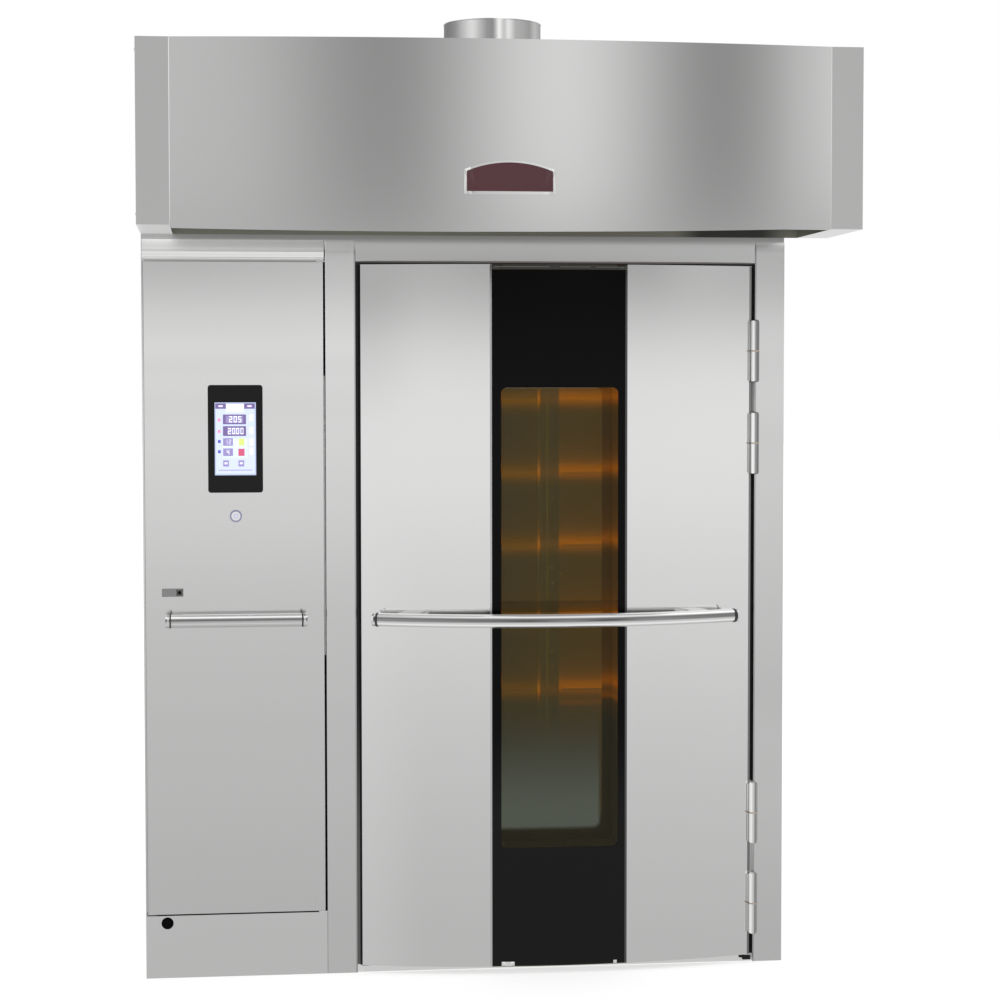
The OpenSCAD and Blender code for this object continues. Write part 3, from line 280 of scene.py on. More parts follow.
# %% Lay the floor
sweep = bmesh.new()
bmesh.ops.create_grid(sweep, x_segments=1, y_segments=1, size=60)
floor = bpy.data.objects.new("floor", bpy.data.meshes.new("floor"))
sweep.to_mesh(floor.data)
sweep.free()
floor.location.z = -0.0005
bpy.context.scene.collection.objects.link(floor)
paper = bpy.data.materials.new("white_sweep")
paper.use_nodes = True
paper.node_tree.nodes.clear()
page = Board(paper.node_tree)
away = page.add("ShaderNodeTexCoord", out=3)
reach = page.add("ShaderNodeVectorMath", {"operation": "LENGTH"}, {0: away}, 1)
far = page.ramp(reach / 60, [(0.02, 0.70), (0.07, 0.80), (0.16, 0.93), (0.45, 1.08), (0.90, 1.14)])
rays = page.tree.nodes.new("ShaderNodeLightPath")
plain = page.add("ShaderNodeBsdfDiffuse", {}, {"Color": (0.42, 0.42, 0.42)})
lit = page.add("ShaderNodeEmission", {}, {"Color": (0.70, 0.70, 0.70)})
seen = page.add("ShaderNodeAddShader", {}, {0: plain, 1: lit})
mirror = page.add("ShaderNodeEmission", {}, {"Color": far})
in_steel = Wire(page, rays.outputs["Is Glossy Ray"])
glossy = page.add("ShaderNodeMixShader", {}, {0: in_steel, 1: seen, 2: mirror})
page.feed(page.tree.nodes.new("ShaderNodeOutputMaterial").inputs["Surface"], glossy)
floor.data.materials.append(paper)
print("floor", tuple(round(v) for v in floor.dimensions), "m")

# %% [markdown]
# ## Finishes
#
# Each finish is one Principled shader whose plain numbers are set on its own
# sockets. Only colour, roughness, metalness, glow and bumps change over the
# surface, and they read the object's own coordinates, so nothing slides when
# the view changes.


# %% Start a finish
class Finish(Board):
    """A material with a Principled shader."""

    def __init__(self, name, **numbers):
        self.material = bpy.data.materials.new(name)
        self.material.use_nodes = True
        super().__init__(self.material.node_tree)
        self.tree.nodes.clear()
        self.shader = self.tree.nodes.new("ShaderNodeBsdfPrincipled")
        out = self.tree.nodes.new("ShaderNodeOutputMaterial")
        self.tree.links.new(self.shader.outputs[0], out.inputs["Surface"])
        self.set(**numbers)

    def set(self, **values):
        for name, value in values.items():
            self.feed(self.shader.inputs[name.replace("_", " ")], value)
        return self

    def place(self, scale=(1, 1, 1)):
        """Object coordinates in metres, stretched by scale."""
        where = self.add("ShaderNodeTexCoord", out=3)
        if scale == (1, 1, 1):
            return where
        return self.add("ShaderNodeMapping", {}, {"Vector": where, "Scale": scale})

    def xyz(self):
        """The three object coordinates, in metres."""
        return self.axes(self.place())

    def lit(self, colour):
        """Give off a light of this colour."""
        return self.set(Emission_Color=colour, Emission_Strength=1.0)

    def noise(self, scale, detail=2, rough=0.5):
        values = {"Vector": self.place(scale), "Scale": 1.0, "Detail": detail, "Roughness": rough}
        return self.add("ShaderNodeTexNoise", {"noise_dimensions": "3D"}, values)

    def bump(self, height, strength, distance):
        values = {"Height": height, "Strength": strength, "Distance": distance}
        return self.set(Normal=self.add("ShaderNodeBump", {}, values))


NO_LIGHT = (0, 0, 0)


def dress(finish, *names):
    """Give solids a finish: every slot of a solid is replaced."""
    for name in names:
        slots = nodes[name].data.materials
        slots.clear()
        slots.append(finish.material)


def plain_finish(name, tone, rough, grain, strength, distance, metal=0.0, wear=0.12):
    coat = Finish(name, Metallic=metal)
    speck = coat.noise((grain, grain, grain), 4, 0.6)
    patch = coat.noise((4, 4, 4), 2, 0.5)
    pale = [part * (1 + wear) for part in tone]
    deep = [part * (1 - wear) for part in tone]
    coat.set(Base_Color=coat.mix(speck * 0.5 + patch * 0.5, deep, pale))
    coat.set(Roughness=(speck - 0.5) * 0.12 + rough)
    return coat.bump(speck, strength, distance)


print("finishes are ready to be mixed")

# %% [markdown]
# ## Satin stainless sheet
#
# Brushed sheet has fine scratches along one direction, here across the oven.
# They are far thinner than a pixel of the picture, so they show as a soft
# spread of the reflection and a faint streak. Long thin noise gives the streak
# to the roughness and the colour; a trace of it goes into the bump. A wide,
# slow cloud keeps large sheets from looking like plastic.


# %% Mix the sheet steel
def sheet_steel(name, light, rough=0.13, along=(2, 700, 1400), cast=(1.0, 1.0, 0.994), shade=None):
    """Brushed steel. The shade, where given, makes a wire of painted shade that dims or lifts its colour over
    the surface.
    """
    steel = Finish(name, Metallic=1.0)
    streak = steel.noise(along, 3, 0.6)
    cloud = steel.noise((1.3, 1.3, 0.9), 2, 0.5)
    change = (streak - 0.5) * 0.02 + (cloud - 0.5) * 0.03 + 1
    tone = [light * part for part in cast]
    colour = steel.mix((change - 0.9) * 5, [part * 0.9 for part in tone], [part * 1.1 for part in tone])
    steel.set(Base_Color=steel.scaled(colour, shade(steel)) if shade else colour)
    steel.set(Roughness=(streak - 0.5) * 0.03 + (cloud - 0.5) * 0.02 + rough)
    return steel.bump(streak, 0.012, 0.0002)


def by_height(levels):
    """A painted shade that follows a list of (height in metres, light given back)."""
    top = levels[-1][0]
    return lambda steel: steel.ramp(
        steel.xyz()[2] / top, [(height / top, light) for height, light in levels], "EASE")


def flat_ends(steel):
    across = steel.xyz()[0]
    middle, half = (hood_low.x + hood_high.x) / 2, (hood_high.x - hood_low.x) / 2 - HOOD_END
    return 1 - across.within(middle, half)


# painted shade by height: flat uprights mirror darker parts of the room than the bowed door
CABINET_SHADE = [
    (0.1, 0.61), (0.45, 0.60), (0.75, 0.57), (1.0, 0.55), (1.35, 0.585), (1.6, 0.61), (1.71, 0.66),
    (1.8, 0.745), (1.89, 0.775), (1.98, 0.76), (2.1, 0.77),
]
POST_SHADE = [
    (0.1, 0.60), (0.45, 0.61), (0.62, 0.59), (0.8, 0.545), (1.5, 0.55), (1.7, 0.60), (1.84, 0.67),
    (2.054, 0.61), (2.060, 0.57), (2.063, 0.545), (2.066, 0.60),
]
# painted shade near the door's left edge, where it turns to another part of the room
EDGE_SHADE = [(0.1, 1.10), (1.0, 1.04), (1.5, 0.99), (1.75, 0.90), (1.9, 0.86), (2.1, 0.93)]


def folded(levels, edge_x, side):
    """A painted shade by height, with more painted shade along one folded edge."""
    def shade(steel):
        inward = (steel.xyz()[0] - edge_x) * side
        return by_height(levels)(steel) * (inward.rise(0.003, 0.007) * 0.35 + 0.65)
    return shade


def left_edge(steel):
    """A painted shade that differs from 1 only near the door's left edge."""
    left = extent("door_left_skin")[0].x
    inward = steel.xyz()[0].rise(left, left + 0.20)
    return by_height(EDGE_SHADE)(steel) * (1 - inward) + inward


satin = sheet_steel("satin_sheet", SHEET)
door_steel = sheet_steel("door_sheet", SHEET, 0.10, shade=left_edge)
# the header is painted dimmer than the door, and glows with painted light that is low in the hood's shade
# and higher below it, where the floor lights it: (height in metres, light)
HEADER_LIGHT = [
    (2.020, 0.10), (2.035, 0.12), (2.052, 0.16), (2.068, 0.19), (2.074, 0.15), (2.080, 0.06),
    (2.086, 0.03),
]
# painted light on the trim as glow by height, then painted shade on it as light given back by height
TRIM_LIGHT = [
    (2.020, 0.18), (2.024, 0.18), (2.0268, 0.14), (2.0296, 0.30), (2.0324, 0.17), (2.0352, 0.15),
    (2.038, 0.08), (2.0436, 0.02), (2.0464, 0.12), (2.0492, 0.16), (2.052, 0.09), (2.0576, 0.05),
    (2.0632, 0.03), (2.071, 0.07), (2.078, 0.15),
]
TRIM_SHADE = [
    (2.020, 0.80), (2.0306, 0.80), (2.0334, 0.68), (2.0362, 0.80), (2.039, 0.77), (2.0408, 0.63),
    (2.0436, 0.57), (2.0464, 0.63), (2.0502, 0.67), (2.053, 0.82), (2.080, 0.80),
]
header_steel = sheet_steel("header_sheet", 0.46, 0.30)
header_steel.lit(by_height(HEADER_LIGHT)(header_steel))
cab_steel = sheet_steel("cabinet_sheet", 1.0, 0.12, shade=folded(CABINET_SHADE, post_high.x, -1))
post_steel = sheet_steel("post_sheet", 1.0, 0.12, shade=folded(POST_SHADE, extent("right_post")[0].x, 1))
# the hood's flat ends get a painted shade a fifth darker, and are rougher
hood_steel = sheet_steel("hood_sheet", 0.63, 0.12, shade=lambda steel: 1 - flat_ends(steel) * 0.2)
hood_steel.set(Roughness=flat_ends(hood_steel) * 0.26 + 0.12)
# painted reflection of the bright floor on the underside of the flat ends
underside = hood_steel.xyz()[2].below(hood_low.z + 0.0006) * flat_ends(hood_steel)
hood_steel.lit(hood_steel.mix(underside, NO_LIGHT, (0.20, 0.20, 0.20)))
# painted light near the tops of the uprights, under the hood: (height in metres, glow)
LEFT_TOP_LIGHT = [(2.048, 0), (2.057, 0.125), (2.063, 0.185), (2.068, 0.24), (2.074, 0.26), (2.080, 0.20)]
RIGHT_TOP_LIGHT = [
    (2.064, 0), (2.067, 0.02), (2.070, 0.035), (2.0728, 0.19), (2.0756, 0.21), (2.081, 0.19),
    (2.087, 0.08),
]
for steel, light in ((cab_steel, LEFT_TOP_LIGHT), (post_steel, RIGHT_TOP_LIGHT)):
    steel.lit(by_height(light)(steel))
dress(satin, "left_side_panel", "right_side_panel", "back_panel", "roof_panel")
dress(satin, "cabinet_partition", "kick_panel")
dress(door_steel, "door_left_skin", "door_right_skin")
dress(header_steel, "door_header")
trim_steel = sheet_steel("trim_sheet", 1.0, 0.20, shade=by_height(TRIM_SHADE))
trim_steel.lit(by_height(TRIM_LIGHT)(trim_steel))
dress(trim_steel, "cabinet_head_trim")
dress(cab_steel, "centre_post", "control_door_panel")
dress(post_steel, "right_post")
dress(hood_steel, "hood_front_skin", "hood_end_boxes", "hood_top_panel")
print("sheet steel on 16 solids")

# %% [markdown]
# ## Bars, hinges and small bright parts
#
# Handles and hinges are polished finer than the sheet, so they mirror more
# sharply. The bar is brushed around its length.

# %% Mix the bright steel
bright = sheet_steel("bright_bar", 0.72, 0.12, (160, 20, 160))
dress(bright, "control_door_pivots", "power_button")
# painted shade across a hinge, lit on its left and turning away on its right:
# (mm to the right of the pin, light given back)
HIGH_HINGE = [
    (-20, 0.85), (-11, 0.95), (-8.4, 0.95), (-5.6, 0.84), (-2.8, 0.58), (0, 0.23), (2.8, 0.27),
    (5.6, 0.12), (8.4, 0.20), (13, 0.60),
]
LOW_HINGE = [
    (-20, 0.90), (-11, 1.0), (-8.4, 0.90), (-5.6, 0.64), (-2.8, 0.40), (0, 0.29), (2.8, 0.26),
    (5.6, 0.27), (8.4, 0.46), (13, 0.45),
]
hinge_pin_x = extent("right_post")[0].x - 0.002


def beside_the_pin(steel):
    x, _, z = steel.xyz()
    across = (x - hinge_pin_x) / 0.033 + 20 / 33

    def shaded(levels):
        return steel.ramp(across, [((place + 20) / 33, light) for place, light in levels])
    return steel.mix(z.rise(0.5, 1.4), shaded(LOW_HINGE), shaded(HIGH_HINGE))


hinge_steel = sheet_steel("hinge_steel", 0.95, 0.16, (160, 160, 20), shade=beside_the_pin)
hinge_x, _, hinge_z = hinge_steel.xyz()
# painted light: the left leaf of the lower hinges glows, and the rest glows faintly
leaf_glow = (1 - hinge_x.rise(hinge_pin_x, hinge_pin_x + 0.003)) * (1 - hinge_z.rise(0.5, 1.4))
hinge_steel.lit(hinge_steel.mix(leaf_glow, (0.02, 0.02, 0.02), (0.26, 0.26, 0.25)))
dress(hinge_steel, "hinge_frame_halves", "hinge_door_halves")
grip_low, grip_high = extent("door_handle_bar")
grip_z = (grip_low.z + grip_high.z) / 2
# A bar mirrors the whole room round its length, painted on here as shade and glow. Both lists give, by mm
# above its middle, the light given back and the light it has from the floor and the sheets beside it.
DOOR_BAR = [
    (-19, 1.0, 0.1), (-15.6, 1.0, 0.05), (-12.7, 1.15, 0), (-9.9, 1.18, 0.14), (-7.1, 1.0, 0),
    (-4.2, 0.90, 0), (-1.4, 0.42, 0), (1.4, 0.25, 0), (4.2, 0.26, 0), (7.1, 0.19, 0), (9.9, 0.40, 0.10),
    (12.7, 0.76, 0.44), (15.6, 0.78, 0.27), (19, 0.80, 0.30),
]
CABINET_BAR = [
    (-19, 1.0, 0.1), (-15.3, 0.88, 0.04), (-12.5, 0.74, 0), (-9.7, 0.78, 0), (-7, 0.98, 0),
    (-4.2, 0.74, 0), (-1.4, 0.60, 0), (1.4, 0.36, 0), (4.2, 0.36, 0), (7, 0.24, 0), (9.7, 0.57, 0.32),
    (12.5, 0.76, 0.49), (15.3, 0.78, 0.13), (19, 0.80, 0.30),
]


def bar_finish(name, levels):
    def round_the_bar(steel, part=1):
        height = (steel.xyz()[2] - grip_z) / 0.038 + 0.5
        return steel.ramp(height, [(level[0] / 38 + 0.5, level[part]) for level in levels])
    steel = sheet_steel(name, 0.84, 0.12, (160, 20, 160), shade=round_the_bar)
    # painted light: the bar glows by height from the third column of its list
    return steel.lit(round_the_bar(steel, 2))


dress(bar_finish("door_bar", DOOR_BAR), "door_handle_bar")
dress(bar_finish("cabinet_bar", CABINET_BAR), "control_door_handle")
dress(bright, "door_handle_brackets")
lock_steel = sheet_steel("lock_plate", 0.26, 0.25)
dress(lock_steel, "latch_plate")
# painted shade: the hood's back panel is a dull dark grey for its shade under the hood, with a painted shadow
# darker still near its right end
under_hood = plain_finish("under_hood", (0.20, 0.20, 0.17), 0.5, 30, 0.02, 0.0005, 0.4)
shadow_x = under_hood.xyz()[0]
shadow_end = 1 - shadow_x.rise(hood_high.x - 0.20, hood_high.x - 0.10)
shadow = shadow_x.rise(hood_high.x - 0.46, hood_high.x - 0.36) * shadow_end
under_hood.set(Base_Color=under_hood.mix(shadow, (0.22, 0.22, 0.18), (0.04, 0.04, 0.035)))
dress(under_hood, "hood_back_panel")
zinc = sheet_steel("bright_zinc", 0.58, 0.34, (6, 6, 6), (0.98, 1.0, 1.02))
dress(zinc, "base_frame", "vent_duct", "vent_damper", "blower_housing")
dress(zinc, "lift_actuator", "rack_carrier", "latch_cam")
collar_low, collar_high = extent("duct_collar")
# painted reflections: the collar mirrors the room all round: (mm to the right of its axis, light given back)
COLLAR_SHADE = [
    (-126, 0.44), (-104, 0.62), (-81, 0.66), (-64, 0.58), (-48, 0.46), (-30, 0.34), (-15, 0.40),
    (-4, 0.82), (3, 1.0), (28, 0.76), (50, 0.46), (72, 0.54), (90, 0.50), (107, 0.82), (118, 0.70),
    (129, 0.48),
]


def round_the_collar(steel):
    middle = (collar_low.x + collar_high.x) / 2
    across = (steel.xyz()[0] - middle) / 0.264 + 0.5
    return steel.ramp(across, [(place / 264 + 0.5, light) for place, light in COLLAR_SHADE])


collar_steel = sheet_steel("collar_sheet", 1.0, 0.22, (40, 40, 1.5), shade=round_the_collar)
dress(collar_steel, "duct_collar")
print("bright parts done")

# %% [markdown]
# ## Inside steel, enamel, rubber and wool
#
# The baking chamber is the same steel after years of heat: straw to brown, and
# duller. Motors wear a grey machine enamel with a fine orange-peel bump. The
# gasket is matt silicone, and the insulation a felted wool whose fibres show
# as a coarse bump.


# %% Mix the hidden finishes
heated = plain_finish("heated_steel", (0.42, 0.36, 0.26), 0.34, 30, 0.05, 0.001, 1.0, 0.15)
dress(heated, "chamber_left_wall", "chamber_right_wall", "chamber_ceiling")
jamb_steel = plain_finish("jamb_steel", (0.035, 0.035, 0.035), 0.35, 60, 0.02, 0.0005, 0.6)
jamb_x, _, jamb_z = jamb_steel.xyz()
# painted light: the near-black jamb glows faintly low down on the left, near the floor
jamb_foot_glow = (1 - jamb_z.rise(0.25, 0.85)) * (1 - jamb_x.rise(-0.3, 0))
jamb_steel.lit(jamb_steel.mix(jamb_foot_glow, NO_LIGHT, (0.075, 0.075, 0.073)))
dress(jamb_steel, "door_jamb")
ramp_steel = plain_finish("ramp_steel", (0.50, 0.49, 0.47), 0.38, 60, 0.03, 0.0005, 1.0)
# painted light: the ramp's front glows nearly white, so the gap under the door looks white
inward = ramp_steel.xyz()[1].rise(front + 0.10, front + 0.30)
ramp_steel.lit(ramp_steel.mix(inward, (0.55, 0.55, 0.55), NO_LIGHT))
dress(ramp_steel, "chamber_floor")
tube_steel = plain_finish("fired_tube", (0.40, 0.33, 0.27), 0.42, 40, 0.08, 0.001, 1.0, 0.22)
dress(tube_steel, "heat_exchanger")
enamel = plain_finish("grey_enamel", (0.14, 0.155, 0.18), 0.42, 220, 0.12, 0.0008)
dress(enamel, "blower_motor", "bearing_housing", "drive_motor", "burner_box", "blower_wheel")
gear_steel = plain_finish("oiled_gear", (0.34, 0.34, 0.35), 0.30, 120, 0.06, 0.0006, 1.0)
dress(gear_steel, "drive_gear", "drive_pinion")
dress(satin, "electrical_box")
rubber = plain_finish("matt_silicone", (0.018, 0.018, 0.018), 0.62, 400, 0.15, 0.0006)
dress(rubber, "door_gasket", "door_sweep")
wool = plain_finish("felted_wool", (0.62, 0.50, 0.22), 0.95, 260, 0.9, 0.004)
dress(wool, "insulation")
print("hidden finishes done")

# %% [markdown]
# ## Glass
#
# The door's middle is one bowed pane, printed black around a clear window. The
# print is nearly black and mirrors little, with a faint painted glow at its foot.
# The clear part is tinted, and towards its foot turns paler with a painted
# reflection of the lit floor of the bakery; a dark band above the handle is a
# painted reflection of the bar.

# %% Mix the glass
black_glass = Finish("black_glass", Base_Color=tint(5, 5, 5), Roughness=0.10, Specular_IOR_Level=0.07)
# painted light: the black print glows faintly towards its foot
black_glass.lit(black_glass.mix(black_glass.xyz()[2].rise(0.42, 0.74), (0.0075, 0.0075, 0.0073), NO_LIGHT))
dress(black_glass, "door_black_glass")

window_low, window_high = extent("door_window_glass")
sight_low, sight_high = extent("door_inner_glass")
pane = Finish("window_glass", Roughness=0.05, Specular_IOR_Level=0.12)
pane_x, _, pane_z = pane.xyz()
# the painted floor reflection ends at a rounded corner, inside the window's own
corner_x = (pane_x - (sight_high.x - 0.051 - 0.022)).at_least(0)
corner_z = (window_low.z + 0.054 + 0.022 - pane_z).at_least(0)
inner = 1 - (corner_x * corner_x + corner_z * corner_z).root().rise(0.012, 0.030)
# painted reflection of the lit floor: paler and less clear towards the foot
foot = (1 - pane_z.rise(window_low.z + 0.08, window_low.z + 0.52)) * inner
# painted reflection of the handle bar: a dark band just above it
bar_reflection = pane_z.band(1.0475, 0.016, 0.003) * 0.25
pane.set(Base_Color=pane.mix(foot, tint(40, 34, 14), tint(82, 87, 77)))
pane.set(Alpha=foot * 0.72 + bar_reflection + 0.14)
dress(pane, "door_window_glass")
inner_pane = Finish("inner_glass", Base_Color=(0.04, 0.035, 0.02), Roughness=0.04, Alpha=0.10)
inner_pane.set(Specular_IOR_Level=0.3)
dress(inner_pane, "door_inner_glass")
print("glass from z =", round(window_low.z, 3), "to", round(window_high.z, 3))

# %% [markdown]
# ## The lit inside
#
# Lamps behind frosted lenses light the chamber from the right. Through the
# window only the air panel at the back is seen, and its light is painted on as
# glow: brown between the air slots, and a painted orange highlight on each
# slot's sloping lip, stronger towards the lamps. The glow is worked out from
# the height above the lowest slot.

# %% Light the chamber
lamp = Finish("lamp_lens", Base_Color=(0.9, 0.75, 0.5), Roughness=0.5)
lamp.set(Emission_Color=(1.0, 0.62, 0.22), Emission_Strength=2.0)
dress(lamp, "lamp_lenses")
column_low, column_high = extent("air_duct_column")
box_low, _ = extent("rear_air_box")
SLOT_Z, SLOT_PITCH = 0.658, 0.243
# painted light on the panel from one lip down to the next: (share of the pitch, light)
LIP_LIGHT = [
    (0, 1), (0.03, 0.84), (0.07, 0.47), (0.11, 0.26), (0.15, 0.08), (0.23, 0), (0.52, 0.02),
    (0.75, 0.10), (0.86, 0.26), (0.945, 0.67), (1, 1),
]


def lips(glow, tall, lowest, pitch):
    """Painted lamp light on the slots' lips, brightest at each lip's upper edge."""
    light = glow.ramp(((lowest - tall) / pitch).fraction(), LIP_LIGHT)
    return light * tall.above(lowest - pitch * 0.48)


air_panel = Finish("air_panel", Metallic=0.2, Roughness=0.45, Base_Color=(0.10, 0.07, 0.03))
across, _, tall = air_panel.xyz()
side = across.rise(column_low.x - 0.004, column_low.x + 0.004)
patchy = air_panel.noise((5, 5, 9), 3, 0.6) * 0.4 + 0.78
toward_lamps = across.rise(column_low.x - 0.30, column_high.x + 0.15)
dark = air_panel.mix(toward_lamps, tint(60, 56, 37), tint(75, 60, 30))
warm = air_panel.mix(side, tint(122, 82, 22), tint(170, 98, 12))
shine = lips(air_panel, tall, side * 0.010 + SLOT_Z - 0.010, SLOT_PITCH) * patchy
shine = shine + tall.band(0.605, 0.010, 0.010) * side * 0.25
# painted light: the panel glows brown between the lips, warmer towards the lamps, with painted orange
# highlights on the lips and a faint painted band low on the lamps' side
air_panel.lit(air_panel.mix(shine, dark, warm))
dress(air_panel, "rear_air_box")

duct = Finish("duct_column", Metallic=0.3, Roughness=0.4, Base_Color=(0.08, 0.06, 0.03))
duct_x, _, duct_z = duct.xyz()
# painted light: the duct glows dimly, with painted orange glints at each lip, strongest on the flange to its
# left
beat = lips(duct, duct_z, SLOT_Z - 0.004, SLOT_PITCH)
glint = beat * (1 - duct_x.rise(column_low.x - 0.008, column_low.x - 0.002)) + beat * 0.22
duct_tone = duct.mix(duct_x.rise(column_low.x, column_high.x), tint(70, 62, 34), tint(68, 61, 36))
duct.lit(duct.mix(glint, duct_tone, tint(176, 104, 20)))
dress(duct, "air_duct_column")


def tunnel_glow(finish):
    """Painted reflection: the tunnel round the window mirrors the same slots, seen closer."""
    tall = finish.xyz()[2]
    bare = finish.mix(tall.rise(0.70, 0.82), tint(36, 35, 27), tint(60, 43, 20))
    light = lips(finish, tall, 0.822, 0.2045) * 0.9 + tall.band(0.781, 0.008, 0.010) * 0.5
    return finish.mix(light, bare, tint(146, 78, 6))


tunnel = Finish("window_tunnel", Roughness=0.4, Specular_IOR_Level=0.10, Base_Color=(0.012, 0.009, 0.005))
tunnel.lit(tunnel_glow(tunnel))
dress(tunnel, "door_core")
liner = plain_finish("liner_steel", (0.42, 0.36, 0.26), 0.34, 30, 0.05, 0.001, 1.0, 0.15)
liner_x, _, liner_z = liner.xyz()
# inside the window's opening the liner is near black and glows with the same painted reflection
inside = liner_x.within((sight_low.x + sight_high.x) / 2, (sight_high.x - sight_low.x) / 2 + 0.002)
inside = inside * liner_z.within((sight_low.z + sight_high.z) / 2, (sight_high.z - sight_low.z) / 2 + 0.002)
liner.set(Base_Color=liner.mix(inside, (0.42, 0.36, 0.26), (0.012, 0.009, 0.005)), Metallic=1 - inside)
liner.set(Specular_IOR_Level=0.1).lit(liner.mix(inside, NO_LIGHT, tunnel_glow(liner)))
dress(liner, "door_liner")
print("slots every", SLOT_PITCH, "m above", SLOT_Z)

# %% [markdown]
# ## Touch screen
#
# The frame is gloss black. The lit display is a generic control page.

# %% Mix the screen
frame_gloss = plain_finish("gloss_frame", (0.006, 0.006, 0.006), 0.18, 300, 0.02, 0.0002)
frame_gloss.set(Specular_IOR_Level=0.16)
dress(frame_gloss, "touch_bezel")
display = Finish("lit_display", Base_Color=(0.02, 0.02, 0.03), Roughness=0.15).lit(tint(196, 208, 240))
dress(display, "touch_display")
print("screen done")

# %% [markdown]
# ## Tools for new pieces
#
# A new piece is a closed mesh at its true place. A few small tools make nearly
# all of them: a part turned on a lathe, a slab cut from an outline, a strip
# through rings of corners, a rod along a line, and heads that Geometry Nodes
# sets on chosen points. Each piece is smooth where its faces meet gently and
# sharp where they don't.

# %% Find places
LEFT, RIGHT, FORWARD, BACK, SKY, DOWN = (-1, 0, 0), (1, 0, 0), (0, -1, 0), (0, 1, 0), (0, 0, 1), (0, 0, -1)
casing_left = extent("left_side_panel")[0].x


def at(x, y, z):
    """A place in millimetres from the casing's left foot, into the oven and up."""
    return Vector((casing_left + x / 1000, front + y / 1000, z / 1000))


def facing(place, out):
    """A frame at a place: its third axis points out of the surface."""
    out = Vector(out).normalized()
    upward = Vector((0, 1, 0)) if abs(out.z) > 0.9 else Vector((0, 0, 1))
    across = upward.cross(out).normalized()
    turn = Matrix((across, out.cross(across), out)).transposed()
    return Matrix.Translation(place) @ turn.to_4x4()


def circle(count, radius=1.0, start=0.0):
    """Points on a circle, as pairs, from a start angle in radians."""
    angles = [start + 2 * math.pi * k / count for k in range(count)]
    return [(radius * math.cos(angle), radius * math.sin(angle)) for angle in angles]


def bowed(low, high, rise, edge):
    """Depth of a front that bows out by rise between two upright edges."""
    half, middle = (high - low) / 2, (high + low) / 2
    radius = (half * half + rise * rise) / (2 * rise)
    return lambda x: edge - rise + radius - math.sqrt(radius * radius - (x - middle) ** 2)


print("left foot of the casing at x =", round(casing_left, 3))


# %% Seal and show
def smooth(mesh, angle=32):
    mesh.shade_smooth()
    mesh.set_sharp_from_angle(angle=math.radians(angle))
    return mesh


def closed(shell):
    """Seal, turn outward and smooth a shell, and give back its mesh."""
    bmesh.ops.remove_doubles(shell, verts=shell.verts, dist=1e-6)
    bmesh.ops.recalc_face_normals(shell, faces=shell.faces)
    mesh = bpy.data.meshes.new("piece")
    shell.to_mesh(mesh)
    shell.free()
    return smooth(mesh)


def joined(meshes):
    """One shell with all the meshes in it."""
    shell = bmesh.new()
    for mesh in meshes:
        shell.from_mesh(mesh)
    return shell


def show(name, mesh, body, *finishes):
    """Show a mesh as a piece that rides on one body."""
    piece = bpy.data.objects.new(name, mesh)
    bpy.context.scene.collection.objects.link(piece)
    for k, finish in enumerate(finishes):
        if k < len(mesh.materials):
            mesh.materials[k] = finish.material
        else:
            mesh.materials.append(finish.material)
    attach(piece, body)
    return piece


def together(name, body, meshes, *finishes):
    """Several closed meshes shown as one piece."""
    shell, mesh = joined(meshes), bpy.data.meshes.new(name)
    shell.to_mesh(mesh)
    shell.free()
    return show(name, smooth(mesh), body, *finishes)


print("a piece is sealed, smoothed and set on its body")


# %% Turn, cut, bend and sweep
def turned(shell, profile, put, steps=48):
    """Revolve (radius, height) points about the frame's third axis."""
    rings = []
    for radius, height in profile:
        points = circle(steps if radius > 1e-7 else 1, radius)
        rings.append([shell.verts.new(put @ Vector((u, w, height))) for u, w in points])
    for one, two in zip(rings, rings[1:]):
        for k in range(steps):
            loop = [ring[j % len(ring)] for ring, j in ((one, k), (one, k + 1), (two, k + 1), (two, k))]
            corners = list(dict.fromkeys(loop))
            if len(corners) > 2:
                shell.faces.new(corners)


def lathe(profile, place, way, steps=48):
    """A closed part turned about the way it points."""
    shell = bmesh.new()
    turned(shell, profile, facing(place, way), steps)
    return closed(shell)


def tube(place, way, inner, outer, low, high, steps=48):
    """A square-edged ring round an axis, such as a flange."""
    return lathe([(inner, low), (outer, low), (outer, high), (inner, high), (inner, low)], place, way, steps)


def slab(shell, outline, put, thick, edge=0.0):
    """A plate on the frame's plane, with its outer edge rounded."""
    low = [shell.verts.new(put @ Vector((u, w, 0))) for u, w in outline]
    high = [shell.verts.new(put @ Vector((u, w, thick))) for u, w in outline]
    shell.faces.new(list(reversed(low)))
    top = shell.faces.new(high)
    for k in range(len(low)):
        shell.faces.new([low[k - 1], low[k], high[k], high[k - 1]])
    if edge:
        bmesh.ops.bevel(shell, geom=list(top.edges), offset=edge, segments=3, profile=0.5, affect="EDGES")


def box_outline(width, height, radius=0.0, steps=6):
    """A rectangle about the middle, with round corners."""
    half_w, half_h = width / 2, height / 2
    if not radius:
        return [(-half_w, -half_h), (half_w, -half_h), (half_w, half_h), (-half_w, half_h)]
    corners = []
    for quarter, (sx, sz) in enumerate([(1, 1), (-1, 1), (-1, -1), (1, -1)]):
        x, z = sx * (half_w - radius), sz * (half_h - radius)
        for k in range(steps + 1):
            angle = math.pi / 2 * (quarter + k / steps)
            corners.append((x + radius * math.cos(angle), z + radius * math.sin(angle)))
    return corners


def strip_outline(width, low, high, steps=24):
    """A rectangle whose long sides are divided so that it can bend."""
    foot = [(-width / 2 + width * k / steps, low) for k in range(steps + 1)]
    return foot + [(across, high) for across, low in reversed(foot)]


def plate(middle, out, wide, tall, thick, corner=0.0, edge=0.0004):
    """A flat plate that faces out, set by the middle of its back."""
    shell = bmesh.new()
    slab(shell, box_outline(wide, tall, corner, 4), facing(middle, out), thick, edge)
    return closed(shell)


